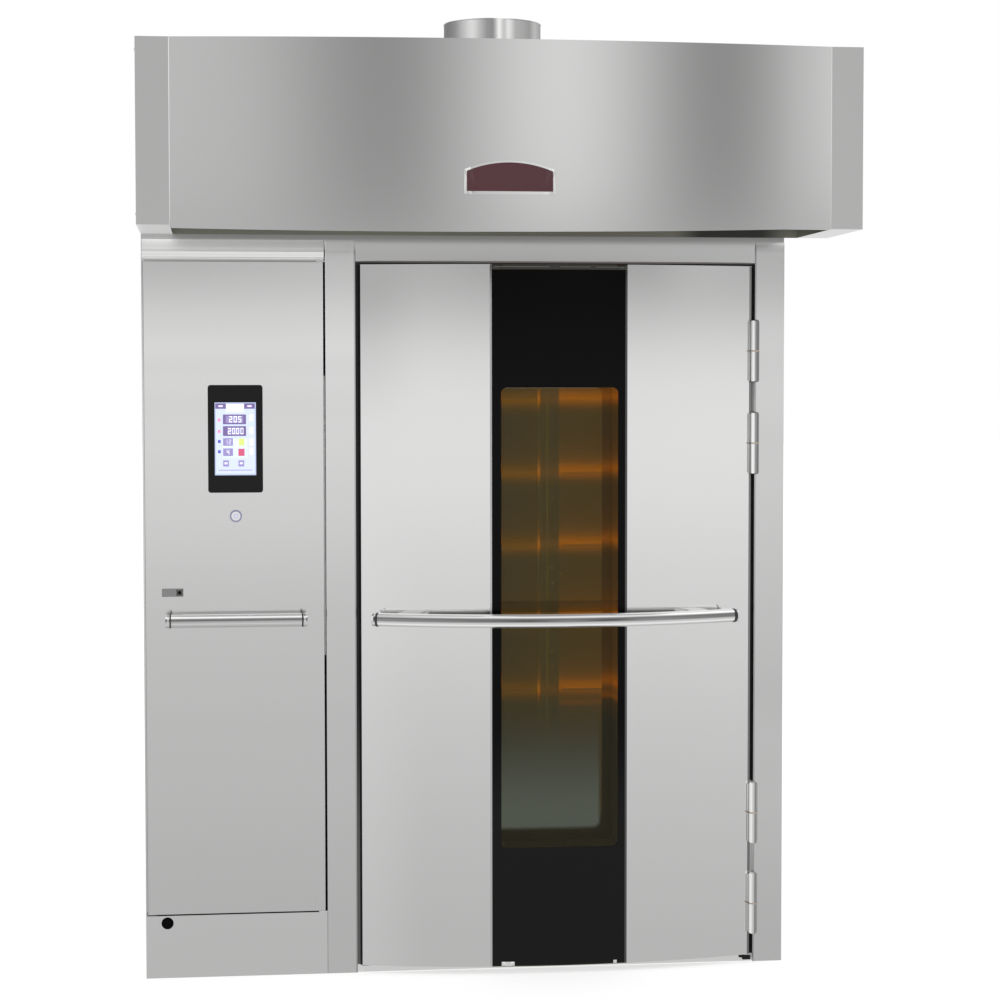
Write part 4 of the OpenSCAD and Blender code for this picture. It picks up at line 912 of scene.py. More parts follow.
def block_between(low, high, edge=0.0005):
    """A block with soft edges between two corners."""
    shell = bmesh.new()
    outline = box_outline(high.x - low.x, high.z - low.z, min(0.002, (high.z - low.z) / 4), 3)
    back = Vector(((low.x + high.x) / 2, high.y, (low.z + high.z) / 2))
    slab(shell, outline, facing(back, FORWARD), high.y - low.y, edge)
    return closed(shell)


def bent(outline, middle, face, lift, thick, edge=0.0):
    """A plate bent to a bowed front, from (across, height) points."""
    shell = bmesh.new()
    slab(shell, outline, facing((middle, 0, 0), FORWARD), thick, edge)
    bmesh.ops.triangulate(shell, faces=[side for side in shell.faces if len(side.verts) > 4])
    for vert in shell.verts:
        vert.co.y += face(vert.co.x) - lift
    return closed(shell)


def lofted(rings, loop=False):
    """A closed strip through rings of corners, which may end where it began."""
    shell = bmesh.new()
    rings = [[shell.verts.new(corner) for corner in ring] for ring in rings]
    for one, two in zip(rings, rings[1:] + rings[:1] if loop else rings[1:]):
        for k in range(len(one)):
            shell.faces.new([one[k - 1], one[k], two[k], two[k - 1]])
    if not loop:
        shell.faces.new(rings[0])
        shell.faces.new(rings[-1][::-1])
    return closed(shell)


def ring_plate(outer, inner, put, thick):
    """A flat ring between two outlines with equal numbers of points."""
    sides = ((outer, 0), (outer, thick), (inner, thick), (inner, 0))
    return lofted([[put @ Vector((u, w, height)) for u, w in outline] for outline, height in sides], True)


def rod(points, radius, sides=12, ring=False, widths=(1.0,)):
    """A round rod along a line of points; its widths repeat from point to point."""
    curve = bpy.data.curves.new("rod", "CURVE")
    curve.dimensions = "3D"
    line = curve.splines.new("POLY")
    line.points.add(len(points) - 1)
    for k, (knot, place) in enumerate(zip(line.points, points)):
        knot.co, knot.radius = (*place, 1), widths[k % len(widths)]
    line.use_cyclic_u = ring
    curve.bevel_depth, curve.bevel_resolution, curve.use_fill_caps = radius, sides // 4, True
    source = bpy.data.objects.new("rod", curve)
    mesh = bpy.data.meshes.new_from_object(source)
    bpy.data.objects.remove(source)
    return smooth(mesh, 50)


def rounded_path(corners, radius, steps=8):
    """A line through corners, with each bend rounded."""
    path = [corners[0]]
    for before, corner, after in zip(corners, corners[1:], corners[2:]):
        start = corner + (before - corner).normalized() * radius
        stop = corner + (after - corner).normalized() * radius
        for k in range(steps + 1):
            t = k / steps
            path.append(start * (1 - t) ** 2 + corner * 2 * t * (1 - t) + stop * t ** 2)
    return path + [corners[-1]]


print("tools are ready")

# %% [markdown]
# ## Screws by Geometry Nodes
#
# Screws come in rows, so one node tree sets a head on every point of a mesh.
# Each point carries the direction that the sheet faces there. The tree turns
# the head into that direction, gives it a turn of its own from a fixed seed,
# makes the copies real and gives them their steel.


# %% Grow a screw tree
def head_mesh(radius, tall, socket, depth):
    """A low dome with a six-sided socket."""
    shell = bmesh.new()
    dome = [(radius, 0), (radius, tall * 0.25), (radius * 0.9, tall * 0.65), (radius * 0.66, tall * 0.94),
            (radius * 0.58, tall)]
    turned(shell, dome, Matrix.Identity(4), 24)
    shell.verts.ensure_lookup_table()
    rim = [v for v in shell.verts if abs(v.co.z - tall) < 1e-7]
    mouth, floor_ring = [], []
    for vert in rim:
        angle = math.atan2(vert.co.y, vert.co.x)
        side = (math.degrees(angle) % 60) - 30
        reach = socket * math.cos(math.radians(30)) / math.cos(math.radians(side))
        for ring, height in ((mouth, tall), (floor_ring, tall - depth)):
            ring.append(shell.verts.new((reach * math.cos(angle), reach * math.sin(angle), height)))
    for k in range(len(rim)):
        shell.faces.new([rim[k - 1], rim[k], mouth[k], mouth[k - 1]])
        shell.faces.new([mouth[k - 1], mouth[k], floor_ring[k], floor_ring[k - 1]])
    shell.faces.new(floor_ring)
    shell.faces.new([v for v in shell.verts if abs(v.co.z) < 1e-9][::-1])
    return closed(shell)


def plant_tree():
    """The node tree: heads on points, turned outward, made real."""
    tree = bpy.data.node_groups.new("heads_on_points", "GeometryNodeTree")
    names = {"Places": "Geometry", "Head": "Object", "Seed": "Int", "Steel": "Material"}
    for name, kind in names.items():
        tree.interface.new_socket(name, in_out="INPUT", socket_type="NodeSocket" + kind)
    tree.interface.new_socket("Screws", in_out="OUTPUT", socket_type="NodeSocketGeometry")
    board = Board(tree)
    given = tree.nodes.new("NodeGroupInput")
    places, head, seed, steel = [Wire(board, given.outputs[name]) for name in names]
    out = board.add("GeometryNodeInputNamedAttribute", {"data_type": "FLOAT_VECTOR"}, {"Name": "out"})
    aim = board.add("FunctionNodeAlignRotationToVector", {"axis": "Z"}, {"Vector": out})
    angle = board.add("FunctionNodeRandomValue", {"data_type": "FLOAT"}, {2: 0.0, 3: 6.283, "Seed": seed}, 1)
    spin = board.add("FunctionNodeAxisAngleToRotation", {}, {"Axis": (0, 0, 1), "Angle": angle})
    turn = board.add("FunctionNodeRotateRotation", {"rotation_space": "LOCAL"}, {0: aim, 1: spin})
    shape = board.add("GeometryNodeObjectInfo", {}, {"Object": head}, 4)
    wires = {"Points": places, "Instance": shape, "Rotation": turn}
    copies = board.add("GeometryNodeInstanceOnPoints", {}, wires)
    real = board.add("GeometryNodeRealizeInstances", {}, {"Geometry": copies})
    coated = board.add("GeometryNodeSetMaterial", {}, {"Geometry": real, "Material": steel})
    board.feed(tree.nodes.new("NodeGroupOutput").inputs[0], coated)
    return tree


screw_tree = plant_tree()
screw_shape = bpy.data.objects.new("screw_shape", head_mesh(0.0048, 0.0026, 0.0020, 0.0014))
bolt_shape = bpy.data.objects.new("bolt_shape", head_mesh(0.0085, 0.0060, 0.0038, 0.0035))
flat_shape = bpy.data.objects.new("flat_shape", head_mesh(0.0050, 0.0007, 0.0020, 0.0006))


def heads(name, body, places, finish, head=screw_shape, seed=7):
    """Set a head on each (place, direction) and show them as one piece."""
    points = bpy.data.meshes.new(name)
    points.from_pydata([tuple(place) for place, out in places], [], [])
    out_way = points.attributes.new("out", "FLOAT_VECTOR", "POINT")
    for k, (place, out) in enumerate(places):
        out_way.data[k].vector = out
    source = bpy.data.objects.new(name, points)
    bpy.context.scene.collection.objects.link(source)
    bpy.context.scene.collection.objects.link(head)
    modifier = source.modifiers.new("heads", "NODES")
    modifier.node_group = screw_tree
    sockets = screw_tree.interface.items_tree
    inputs = {item.name: item.identifier for item in sockets if item.in_out == "INPUT"}
    for socket, value in (("Head", head), ("Seed", seed), ("Steel", finish.material)):
        modifier[inputs[socket]] = value
    bpy.context.view_layer.update()
    ready = source.evaluated_get(bpy.context.evaluated_depsgraph_get())
    mesh = bpy.data.meshes.new_from_object(ready)
    bpy.data.objects.remove(source)
    bpy.context.scene.collection.objects.unlink(head)
    return show(name, smooth(mesh), body, finish)


def row(start, end, count, out):
    """Evenly spaced places from start to end, all facing out."""
    return [(start.lerp(end, k / (count - 1)), out) for k in range(count)]


print("screw tree of", len(screw_tree.nodes), "nodes")

# %% [markdown]
# ## Hood trim
#
# The hood's lower edge is rolled into a thin bead, which stiffens the thin
# sheet and catches the light. The front is welded to its flat ends, and the
# collar on top has a rolled rim and a riveted lap. A bare nameplate blank is
# bent to the hood's own curve, so it seats all over its back.

# %% Roll the hood's edge
HOOD_BOW, PLATE_W = 0.055, 0.243
LIP_THICK, HEM_R, WELD_R = 0.0012, 0.0018, 0.0014
ends_low, ends_high = extent("hood_end_boxes")
bow_left, bow_right = hood_low.x + HOOD_END, hood_high.x - HOOD_END
hood_face = bowed(bow_left, bow_right, HOOD_BOW, hood_low.y + HOOD_BOW)
lip_x, lip_half = bow_left + 0.40 * (bow_right - bow_left), 0.56 * (bow_right - bow_left)


def lip_drop(x):
    """How far the lip hangs below the sheet: most left of the middle, least at the ends."""
    return max(0.002, 0.0165 * (1 - ((x - lip_x) / lip_half) ** 2))


lip_rings, hem_line = [], []
lip_top = hood_low.z + 0.004
for k in range(81):
    x = bow_left + 0.002 + (bow_right - bow_left - 0.004) * k / 80
    y, low = hood_face(x) + 0.0002, hood_low.z + 0.0005 - lip_drop(x)
    lip_rings.append([(x, y, lip_top), (x, y, low), (x, y + LIP_THICK, low), (x, y + LIP_THICK, lip_top)])
    hem_line.append(Vector((x, y + HEM_R, low + 0.0012)))
show("hood_lip", lofted(lip_rings), "oven_casing", hood_steel)
hem = show("hood_hem", rod(hem_line, HEM_R), "oven_casing", hood_steel)
welds = []
for x in (bow_left, bow_right):
    welds.append(rod([Vector((x, hood_face(x), z)) for z in (lip_top, hood_high.z - 0.002)], WELD_R, 8))
show("hood_corner_welds", closed(joined(welds)), "oven_casing", bright)
print("hem of", len(hem.data.polygons), "faces")

# %% Bend the nameplate blank
plate_low, plate_high, arch = hood_low.z + 0.083, hood_low.z + 0.148, 0.023
plate_x = (hood_low.x + hood_high.x) / 2 + 0.005


def arched(width, low, high, rise, steps=24):
    """An outline with an arched top, its foot divided so that it can bend."""
    half = width / 2
    radius = (half * half + rise * rise) / (2 * rise)
    foot = [(-half + width * k / steps, low) for k in range(steps + 1)]
    centre = high - (radius - rise)
    return foot + [(x, centre + math.sqrt(radius * radius - x * x)) for x, _ in reversed(foot)]


maroon = plain_finish("maroon_enamel", tint(72, 30, 38), 0.30, 300, 0.02, 0.0002)
whole = arched(PLATE_W, plate_low, plate_high, arch)
inset = arched(PLATE_W - 0.013, plate_low + 0.0075, plate_high - 0.0045, arch)
show("nameplate_rim", bent(whole, plate_x, hood_face, 0.0004, 0.0025, 0.0008), "oven_casing", bright)
show("nameplate_face", bent(inset, plate_x, hood_face, 0.0027, 0.0009, 0.0003), "oven_casing", maroon)
print("nameplate blank", PLATE_W * 1000, "mm wide")

# %% Finish the collar
COLLAR_R = 0.132
LAP_R = COLLAR_R + 0.0012
collar_place = Vector(((collar_low.x + collar_high.x) / 2, (collar_low.y + collar_high.y) / 2, 0))
bead = [(COLLAR_R + u, collar_high.z - 0.0016 + w) for u, w in circle(8, 0.0014)]
show("collar_rim", lathe(bead + bead[:1], collar_place, SKY, 96), "oven_casing", collar_steel)


def collar_point(degrees, reach, z):
    """A place on the collar and the direction it faces."""
    ray = Vector((math.cos(math.radians(degrees)), math.sin(math.radians(degrees)), 0))
    return collar_place + ray * reach + Vector((0, 0, z)), ray


lap_low, lap_high = hood_high.z + 0.004, collar_high.z - 0.007
lap_corners = [(COLLAR_R, lap_low), (LAP_R, lap_low), (LAP_R, lap_high), (COLLAR_R, lap_high)]
lap_rings = [[collar_point(102 + k, reach, z)[0] for reach, z in lap_corners] for k in range(11)]
show("collar_lap", lofted(lap_rings), "oven_casing", collar_steel)
rivets = []
for angle in (104.5, 109.5):
    rivets += [collar_point(angle, LAP_R, hood_high.z + z) for z in (0.016, 0.034, 0.052)]
for u, w in circle(12, COLLAR_R + 0.010):
    rivets.append((collar_place + Vector((u, w, hood_high.z + 0.003)), SKY))
heads("collar_rivets", "oven_casing", rivets, bright)
print(len(rivets), "heads on the collar")

# %% [markdown]
# ## Screen, button and latch
#
# The display shows a plain control page: two read-outs, a few values and coloured
# squares. Every mark is a thin tile of its own, laid out in tenths of
# the display's width and height, so the page keeps its layout on any size.

# %% Draw the control page
display_low, display_high = extent("touch_display")
page_w, page_h = display_high.x - display_low.x, display_high.z - display_low.z


def glowing(name, colour):
    return Finish(name, Base_Color=tuple(part * 0.3 for part in colour), Roughness=0.3).lit(colour)


INKS = {
    "sky": (206, 216, 246), "deep": (116, 98, 150), "mid": (150, 138, 190), "pale": (226, 224, 250),
    "white": (246, 250, 255), "lime": (214, 240, 130), "rose": (206, 88, 120), "blue": (96, 90, 190),
    "pink": (232, 150, 190),
}
INK_ORDER = list(INKS)
page = bmesh.new()


def tile(ink, left, top, wide, tall, level=1):
    """A mark on the page: its left and top, width and height in tenths."""
    x = display_low.x + page_w * (left + wide / 2) / 10
    z = display_high.z - page_h * (top + tall / 2) / 10
    before = set(page.faces)
    corner = 0.0009 if min(wide * page_w, tall * page_h) > 0.04 else 0.0
    outline = box_outline(page_w * wide / 10, page_h * tall / 10, corner, 3)
    slab(page, outline, facing((x, display_low.y, z), FORWARD), 0.0002 * level)
    for face in set(page.faces) - before:
        face.material_index = INK_ORDER.index(ink)


SEGMENTS = {
    "0": "abcdef", "1": "bc", "2": "abged", "3": "abgcd", "4": "fgbc",
    "5": "afgcd", "6": "afgedc", "7": "abc", "8": "abcdefg", "9": "abfgcd",
}


def number(marks, ink, left, top, wide, tall, gap=0.35):
    """Seven-segment numerals side by side."""
    bar_w, bar_h, half = wide * 0.24, tall * 0.16, tall / 2
    places = {
        "a": (0, 0, wide, bar_h), "d": (0, tall - bar_h, wide, bar_h),
        "g": (0, half - bar_h / 2, wide, bar_h),
        "f": (0, 0, bar_w, half), "b": (wide - bar_w, 0, bar_w, half),
        "e": (0, half, bar_w, half), "c": (wide - bar_w, half, bar_w, half),
    }
    for k, mark in enumerate(marks):
        for name in SEGMENTS[mark]:
            dx, dz, w, h = places[name]
            tile(ink, left + k * (wide + gap) + dx, top + dz, w, h, 5)


tile("sky", 0.3, 0.2, 9.4, 9.6)
tile("white", 2.8, 0.25, 4.2, 1.05, 2)
tile("white", 1.9, 5.0, 6.0, 2.6)
for left in (0.15, 7.15):
    tile("deep", left, 0.12, 2.6, 0.75, 2)
for left in (0.9, 7.9):
    tile("pale", left, 0.38, 1.1, 0.24, 3)
for k, top in enumerate((1.65, 3.25)):
    tile("deep", 2.0, top, 5.6, 1.35, 2)
    tile("mid", 2.7 + 0.4 * k, top + 0.2, 4.2 - 0.8 * k, 0.95, 3)
number("205", "white", 3.5, 1.88, 0.75, 0.85)
number("20", "white", 3.2, 3.5, 0.7, 0.85)
number("00", "white", 5.2, 3.5, 0.7, 0.85)
for top in (4.9, 6.3):
    tile("mid", 2.0, top, 2.4, 1.05, 2)
number("12", "pale", 2.5, 5.1, 0.55, 0.65)
number("4", "white", 2.9, 6.5, 0.6, 0.65)
tile("lime", 5.8, 4.95, 1.4, 0.98, 2)
tile("rose", 5.7, 6.35, 1.5, 1.0, 2)
for left in (2.0, 5.7):
    tile("mid", left, 7.95, 1.4, 0.85, 2)
    tile("pale", left + 0.3, 8.2, 0.8, 0.3, 3)
for top, ink in ((2.2, "pink"), (3.75, "pink"), (5.15, "blue"), (6.55, "blue")):
    tile(ink, 0.75, top, 0.7, 0.42, 2)
for top in (1.85, 3.6, 5.2, 6.45):
    tile("pale", 8.3, top - 0.25, 1.1, 1.0, 2)
    tile("white", 8.6, top, 0.5, 0.42, 3)
tile("mid", 0.9, 9.25, 8.2, 0.10, 2)
show("control_page", closed(page), "control_door", *[glowing("ink_" + ink, tint(*INKS[ink])) for ink in INKS])
print("page of", len(INK_ORDER), "inks")

# %% Ring and sign of the power button
button_low, button_high = extent("power_button")
button_place = Vector(((button_low.x + button_high.x) / 2, button_low.y, (button_low.z + button_high.z) / 2))
ring_profile = [
    (0.0126, -0.0002), (0.0160, -0.0002), (0.0172, 0.0006), (0.0168, 0.0022), (0.0146, 0.0030),
    (0.0130, 0.0024), (0.0126, -0.0002),
]
ring = lathe(ring_profile, button_place + Vector((0, 0.0002, 0)), FORWARD, 64)
ring_steel = plain_finish("ring_steel", tint(150, 150, 178), 0.35, 300, 0.02, 0.0002, 0.5)
show("button_ring", ring, "control_door", ring_steel)
SIGN_R, STROKE_R = 0.0058, 0.0007
sweep = [math.radians(125 + 290 * k / 28) for k in range(29)]
arc = [(SIGN_R * math.cos(angle), SIGN_R * math.sin(angle)) for angle in sweep]
put = facing(button_place, FORWARD)
strokes = []
for line in (arc, [(0, 0.0015), (0, 0.0072)]):
    strokes.append(rod([put @ Vector((u, w, 0.0002)) for u, w in line], STROKE_R, 8))
power_blue = glowing("power_blue", tint(120, 130, 210))
show("power_sign", closed(joined(strokes)), "power_switch", power_blue)
print("button at", [round(v, 3) for v in button_place])

# %% [markdown]
# ## Bars, glass edges and hinges
#
# A soft ring sits in the groove near each end of the handles. The black glass
# stands between two folded steel edges, is held by a cap above and by small
# clips at its foot. The hinges get the discs and pin heads that lift-off
# hinges have, so that steel never runs on steel.

# %% Rings in the handle grooves
hole_black = Finish("hole_black", Base_Color=(0.003, 0.003, 0.003), Roughness=0.8, Specular_IOR_Level=0.05)
ring_black = plain_finish("ring_rubber", (0.02, 0.02, 0.02), 0.5, 300, 0.05, 0.0003)
BAR_R, CAP, SOFT = 0.019, 0.009, 0.0003


def bar_ring(place, along, stand, half):
    """A ring round a bar: how far it stands out and half its width."""
    low, high, flank = BAR_R - 0.0030, BAR_R + stand, half - SOFT
    profile = [(low, -half), (high - SOFT, -half), (high, -flank), (high, flank), (high - SOFT, half)]
    return lathe(profile + [(low, half), (low, -half)], place, along)


def ring_ends(name, body, ends, stand, half):
    """A bright band and a dark ring at each (end, direction, distance inward)."""
    darks = [bar_ring(end - along * inward, along, stand, half) for end, along, inward in ends]
    bands = [bar_ring(end + along * 0.0015, along, 0.0001, 0.0022) for end, along, inward in ends]
    together(name + "_rings", body, darks, ring_black)
    together(name + "_bands", body, bands, bright)


cab_bar_low, cab_bar_high = extent("control_door_handle")
cab_ends = []
for x, along in ((cab_bar_low.x + CAP, LEFT), (cab_bar_high.x - CAP, RIGHT)):
    end = Vector((x, cab_bar_low.y + BAR_R, (cab_bar_low.z + cab_bar_high.z) / 2))
    cab_ends.append((end, Vector(along), 0.0045))
ring_ends("control_handle", "control_door", cab_ends, 0.0005, 0.0022)
bar_low, bar_high = extent("door_handle_bar")
HANDLE_BOW, HANDLE_END_Y = 0.104, front - 0.078
bar_half = (bar_high.x - bar_low.x) / 2 - CAP
bar_arc_r = (bar_half ** 2 + HANDLE_BOW ** 2) / (2 * HANDLE_BOW)
bar_turn = math.asin(bar_half / bar_arc_r)
bar_middle = (bar_low.x + bar_high.x) / 2
door_ends = []
for side, inward in ((-1, 0.0085), (1, 0.0050)):
    along = Vector((side * math.cos(bar_turn), math.sin(bar_turn), 0))
    end = Vector((bar_middle + side * bar_half, HANDLE_END_Y, (bar_low.z + bar_high.z) / 2))
    door_ends.append((end, along, inward))
ring_ends("door_handle", "oven_door", door_ends, 0.0006, 0.0026)
print("bar turned", round(math.degrees(bar_turn), 1), "degrees at its ends")

# %% Edges of the black glass
glass_low, glass_high = extent("door_black_glass")
left_skin_low, left_skin_high = extent("door_left_skin")
right_skin_low, right_skin_high = extent("door_right_skin")
DOOR_BOW = 0.070
door_face = bowed(left_skin_low.x, right_skin_high.x, DOOR_BOW, front - 0.005)
skin_z, skin_tall = (left_skin_low.z + left_skin_high.z) / 2, left_skin_high.z - left_skin_low.z
# painted light and shade: the left folded edge is lit, the right one in shade
lit_glass_edge, shaded_glass_edge = sheet_steel("lit_glass_edge", 0.55, 0.25), sheet_steel("shaded_glass_edge", 0.11, 0.25)
edges = (("left", glass_low.x - 0.0030, lit_glass_edge), ("right", glass_high.x - 0.0036, shaded_glass_edge))
for side, x, finish in edges:
    spot = Vector((x, door_face(x) - 0.0002, skin_z))
    show("glass_edge_" + side, plate(spot, FORWARD, 0.0055, skin_tall - 0.002, 0.0014), "oven_door", finish)
print("glass from x =", round(glass_low.x, 3), "to", round(glass_high.x, 3))

# %% Hinge discs, pins and screws
HINGE_ZS = [0.174, 0.438, 1.506, 1.770]
KNUCKLE, BARREL_R, LEAF = 0.085, 0.0115, 0.084
pin_y = front - 0.016
cap_profile = [
    (0, -0.0002), (BARREL_R - 0.0006, -0.0002), (BARREL_R - 0.0006, 0.0015), (0.0085, 0.0035),
    (0.004, 0.0045), (0, 0.0047),
]
for way, body in ((SKY, "oven_door"), (DOWN, "oven_casing")):
    caps = [lathe(cap_profile, (hinge_pin_x, pin_y, z + way[2] * KNUCKLE), way, 32) for z in HINGE_ZS]
    together("hinge_caps_" + body, body, caps, hinge_steel)
bronze = plain_finish("bronze", tint(186, 170, 156), 0.45, 200, 0.03, 0.0003, 0.7)
ring_low, ring_high = BARREL_R + 0.0002, BARREL_R + 0.0010
rings = [tube((hinge_pin_x, pin_y, z), SKY, ring_low, ring_high, -0.002, 0.002, 40) for z in HINGE_ZS]
together("hinge_rings", "oven_casing", rings, bronze)
leaf_steel = sheet_steel("leaf_steel", 0.46, 0.25)
leaves = []
for z in HINGE_ZS:
    outline = strip_outline(0.0085, z - LEAF, z + LEAF, 2)
    leaves.append(bent(outline, right_skin_high.x - 0.0052, door_face, 0.0, 0.0022, 0.0004))
together("hinge_leaves_door", "oven_door", leaves, leaf_steel)
# painted shade by height on the covers between the knuckles, darker above
cover_shade = by_height([(0.1, 0.42), (0.5, 0.40), (1.4, 0.20), (2.0, 0.20)])
cover_steel = sheet_steel("cover_steel", 1.0, 0.25, shade=cover_shade)
leaf_spans = [(z - LEAF, z + LEAF) for z in HINGE_ZS]
cover_spans = [(low + 0.0855, high - 0.0855) for low, high in zip(HINGE_ZS[::2], HINGE_ZS[1::2])]


def beside_pins(name, spans, left, right, near, far, finish):
    """Upright strips beside the line of the pins, one for each span of heights."""
    strips = []
    for low, high in spans:
        foot = Vector((hinge_pin_x + left, front - near, low))
        strips.append(block_between(foot, Vector((hinge_pin_x + right, front - far, high))))
    together(name, "oven_casing", strips, finish)


beside_pins("hinge_covers", cover_spans, -0.0082, -0.0014, 0.006, 0.003, cover_steel)
beside_pins("hinge_lips", cover_spans, -0.0014, 0.0030, 0.006, 0.003, post_steel)
beside_pins("hinge_leaves_frame", leaf_spans, 0.0112, 0.0160, 0.0025, 0.0002, leaf_steel)
print(len(HINGE_ZS), "hinges dressed")

# %% Cap and clips of the black glass
glass_w, glass_x = glass_high.x - glass_low.x, (glass_low.x + glass_high.x) / 2
cap_steel = plain_finish("cap_steel", tint(62, 62, 60), 0.35, 200, 0.05, 0.0004, 0.5)
cap_low, cap_high = glass_high.z + 0.0005, left_skin_high.z - 0.001
cap = bent(strip_outline(glass_w - 0.002, cap_low, cap_high), glass_x, door_face, 0.0004, 0.003, 0.0008)
show("glass_cap", cap, "oven_door", cap_steel)
# painted highlight: broken light beads along the cap stand for its glints
beads, bead_z = [], cap_low * 0.45 + cap_high * 0.55
for start, stop in ((0.02, 0.42), (0.50, 0.72), (0.76, 0.97)):
    line = [glass_low.x + glass_w * (start + (stop - start) * k / 12) for k in range(13)]
    beads.append(rod([Vector((x, door_face(x) - 0.0036, bead_z)) for x in line], 0.0012, 8))
cap_glint = plain_finish("cap_glint", tint(140, 140, 136), 0.3, 200, 0.05, 0.0004, 0.8)
show("cap_beads", closed(joined(beads)), "oven_door", cap_glint)
clips = []
for left, right, tall in ((1001, 1038, 12), (1322, 1332, 9)):
    low, high = at(left, 0, 24), at(right, 0, 24 + tall)
    outline = strip_outline(high.x - low.x, low.z, high.z, 6)
    clips.append(bent(outline, (low.x + high.x) / 2, door_face, 0.0006, 0.0022, 0.0006))
clip_steel = sheet_steel("clip_steel", 0.80, 0.3)
together("glass_clips", "oven_door", clips, clip_steel)
# painted shade: a dark strip where the door's right edge folds away
fold = strip_outline(0.0050, right_skin_low.z + 0.001, right_skin_high.z - 0.001, 2)
fold = bent(fold, right_skin_high.x - 0.0027, door_face, 0.0004, 0.0009, 0.0003)
shaded_door_fold = sheet_steel("door_edge", 0.22, 0.25)
show("door_fold", fold, "oven_door", shaded_door_fold)
print(len(beads), "beads and", len(clips), "clips on the glass")

# %% Trim gap, foot stop and lock
trim_low, trim_high = extent("cabinet_head_trim")
# painted light: a light strip glowing in the gap below the trim
rebate_light = plain_finish("rebate_light", tint(120, 120, 118), 0.4, 100, 0.02, 0.0003, 0.3)
rebate_light.lit((0.16, 0.16, 0.155))
gap_low = Vector((trim_low.x + 0.004, front + 0.002, trim_low.z - 0.0034))
gap_high = Vector((trim_high.x - 0.004, front + 0.006, trim_low.z - 0.0003))
show("trim_rebate", block_between(gap_low, gap_high), "oven_casing", rebate_light)
stop_black = Finish("stop_black", Base_Color=(0.008, 0.008, 0.008), Roughness=0.5, Specular_IOR_Level=0.2)
stop_x = right_skin_high.x
steps_of_foot = []
for wide, low, high in ((0.030, 0.0145, 0.0200), (0.020, 0.0080, 0.0145)):
    corner = Vector((stop_x - wide, front - 0.012, low))
    steps_of_foot.append(block_between(corner, Vector((stop_x + 0.004, front - 0.002, high))))
together("foot_stop", "oven_casing", steps_of_foot, stop_black)

lock_low, lock_high = extent("latch_plate")
lock_place = Vector((lock_high.x - 0.011, lock_low.y, (lock_low.z + lock_high.z) / 2))
lock_square = []
for u, w in circle(48, 1, math.pi / 48):
    reach = 0.0088 / max(abs(u), abs(w))
    lock_square.append((reach * u, reach * w))
lock_frame = ring_plate(lock_square, circle(48, 0.0083, math.pi / 48), facing(lock_place, FORWARD), 0.0006)
lock_dark = plain_finish("lock_dark", tint(70, 66, 62), 0.35, 200, 0.05, 0.0003, 0.8)
show("lock_frame", lock_frame, "control_door", lock_dark)
core = [
    (0.0040, 0.00015), (0.0076, 0.00015), (0.0076, 0.0008), (0.0060, 0.0011), (0.0040, 0.0011),
    (0.0040, 0.00015),
]
show("lock_core", lathe(core, lock_place, FORWARD, 40), "door_latch", lock_dark)
# painted shade: the key hole is a shallow disc in matt near black
pit = [(0, -0.0030), (0.0039, -0.0030), (0.0039, 0.0002), (0, 0.0002)]
show("key_pit", lathe(pit, lock_place, FORWARD, 24), "door_latch", hole_black)
print("lock at", [round(v, 3) for v in lock_place])

# %% Flange, seam and screws of the duct
# painted light: the duct's seam and screws glow with the lamps' light
duct_glint = Finish("duct_glint", Metallic=0.3, Roughness=0.4, Base_Color=(0.10, 0.07, 0.03))
duct_glint.lit(tint(92, 76, 34))
flange = block_between(Vector((column_low.x - 0.013, column_low.y, column_low.z)),
                       Vector((column_low.x - 0.0002, column_low.y + 0.002, column_high.z)), 0.0004)
show("duct_flange", flange, "oven_casing", duct)
seam_x = column_low.x + 0.33 * (column_high.x - column_low.x)
seam = block_between(Vector((seam_x - 0.0022, column_low.y - 0.0012, column_low.z + 0.01)),
                     Vector((seam_x + 0.0022, column_low.y - 0.0001, column_high.z - 0.01)), 0.0003)
show("duct_seam", seam, "oven_casing", duct_glint)
duct_places = []
for z in (0.450, 0.500, 0.732, 0.783, 1.012, 1.063, 1.295, 1.345):
    duct_places.append((Vector((at(1316, 0, 0).x, column_low.y, z)), FORWARD))
for z in (0.610, 1.040, 1.470):
    duct_places.append((Vector((column_high.x + 0.010, box_low.y, z)), FORWARD))
heads("duct_screws", "oven_casing", duct_places, duct_glint, seed=5)
print(len(duct_places), "screws on the duct")

# %% [markdown]
# ## Screws on sheets
#
# Roof, sides and back are fixed with rows of button-head screws along their
# edges, evenly spaced as a sheet-metal shop drills them.

# %% Set the screws
side_low, side_high = extent("left_side_panel")
right_low, right_high = extent("right_side_panel")
back_low, back_high = extent("back_panel")
MARGIN = 0.022


def row_inward(x, low_y, high_y, z, count, out):
    return row(Vector((x, low_y, z)), Vector((x, high_y, z)), count, out)


def row_across(low_x, high_x, y, z, count, out):
    return row(Vector((low_x, y, z)), Vector((high_x, y, z)), count, out)


def row_upward(x, y, low, high, out):
    """Ten places up a sheet's edge."""
    return row(Vector((x, y, low)), Vector((x, y, high)), 10, out)


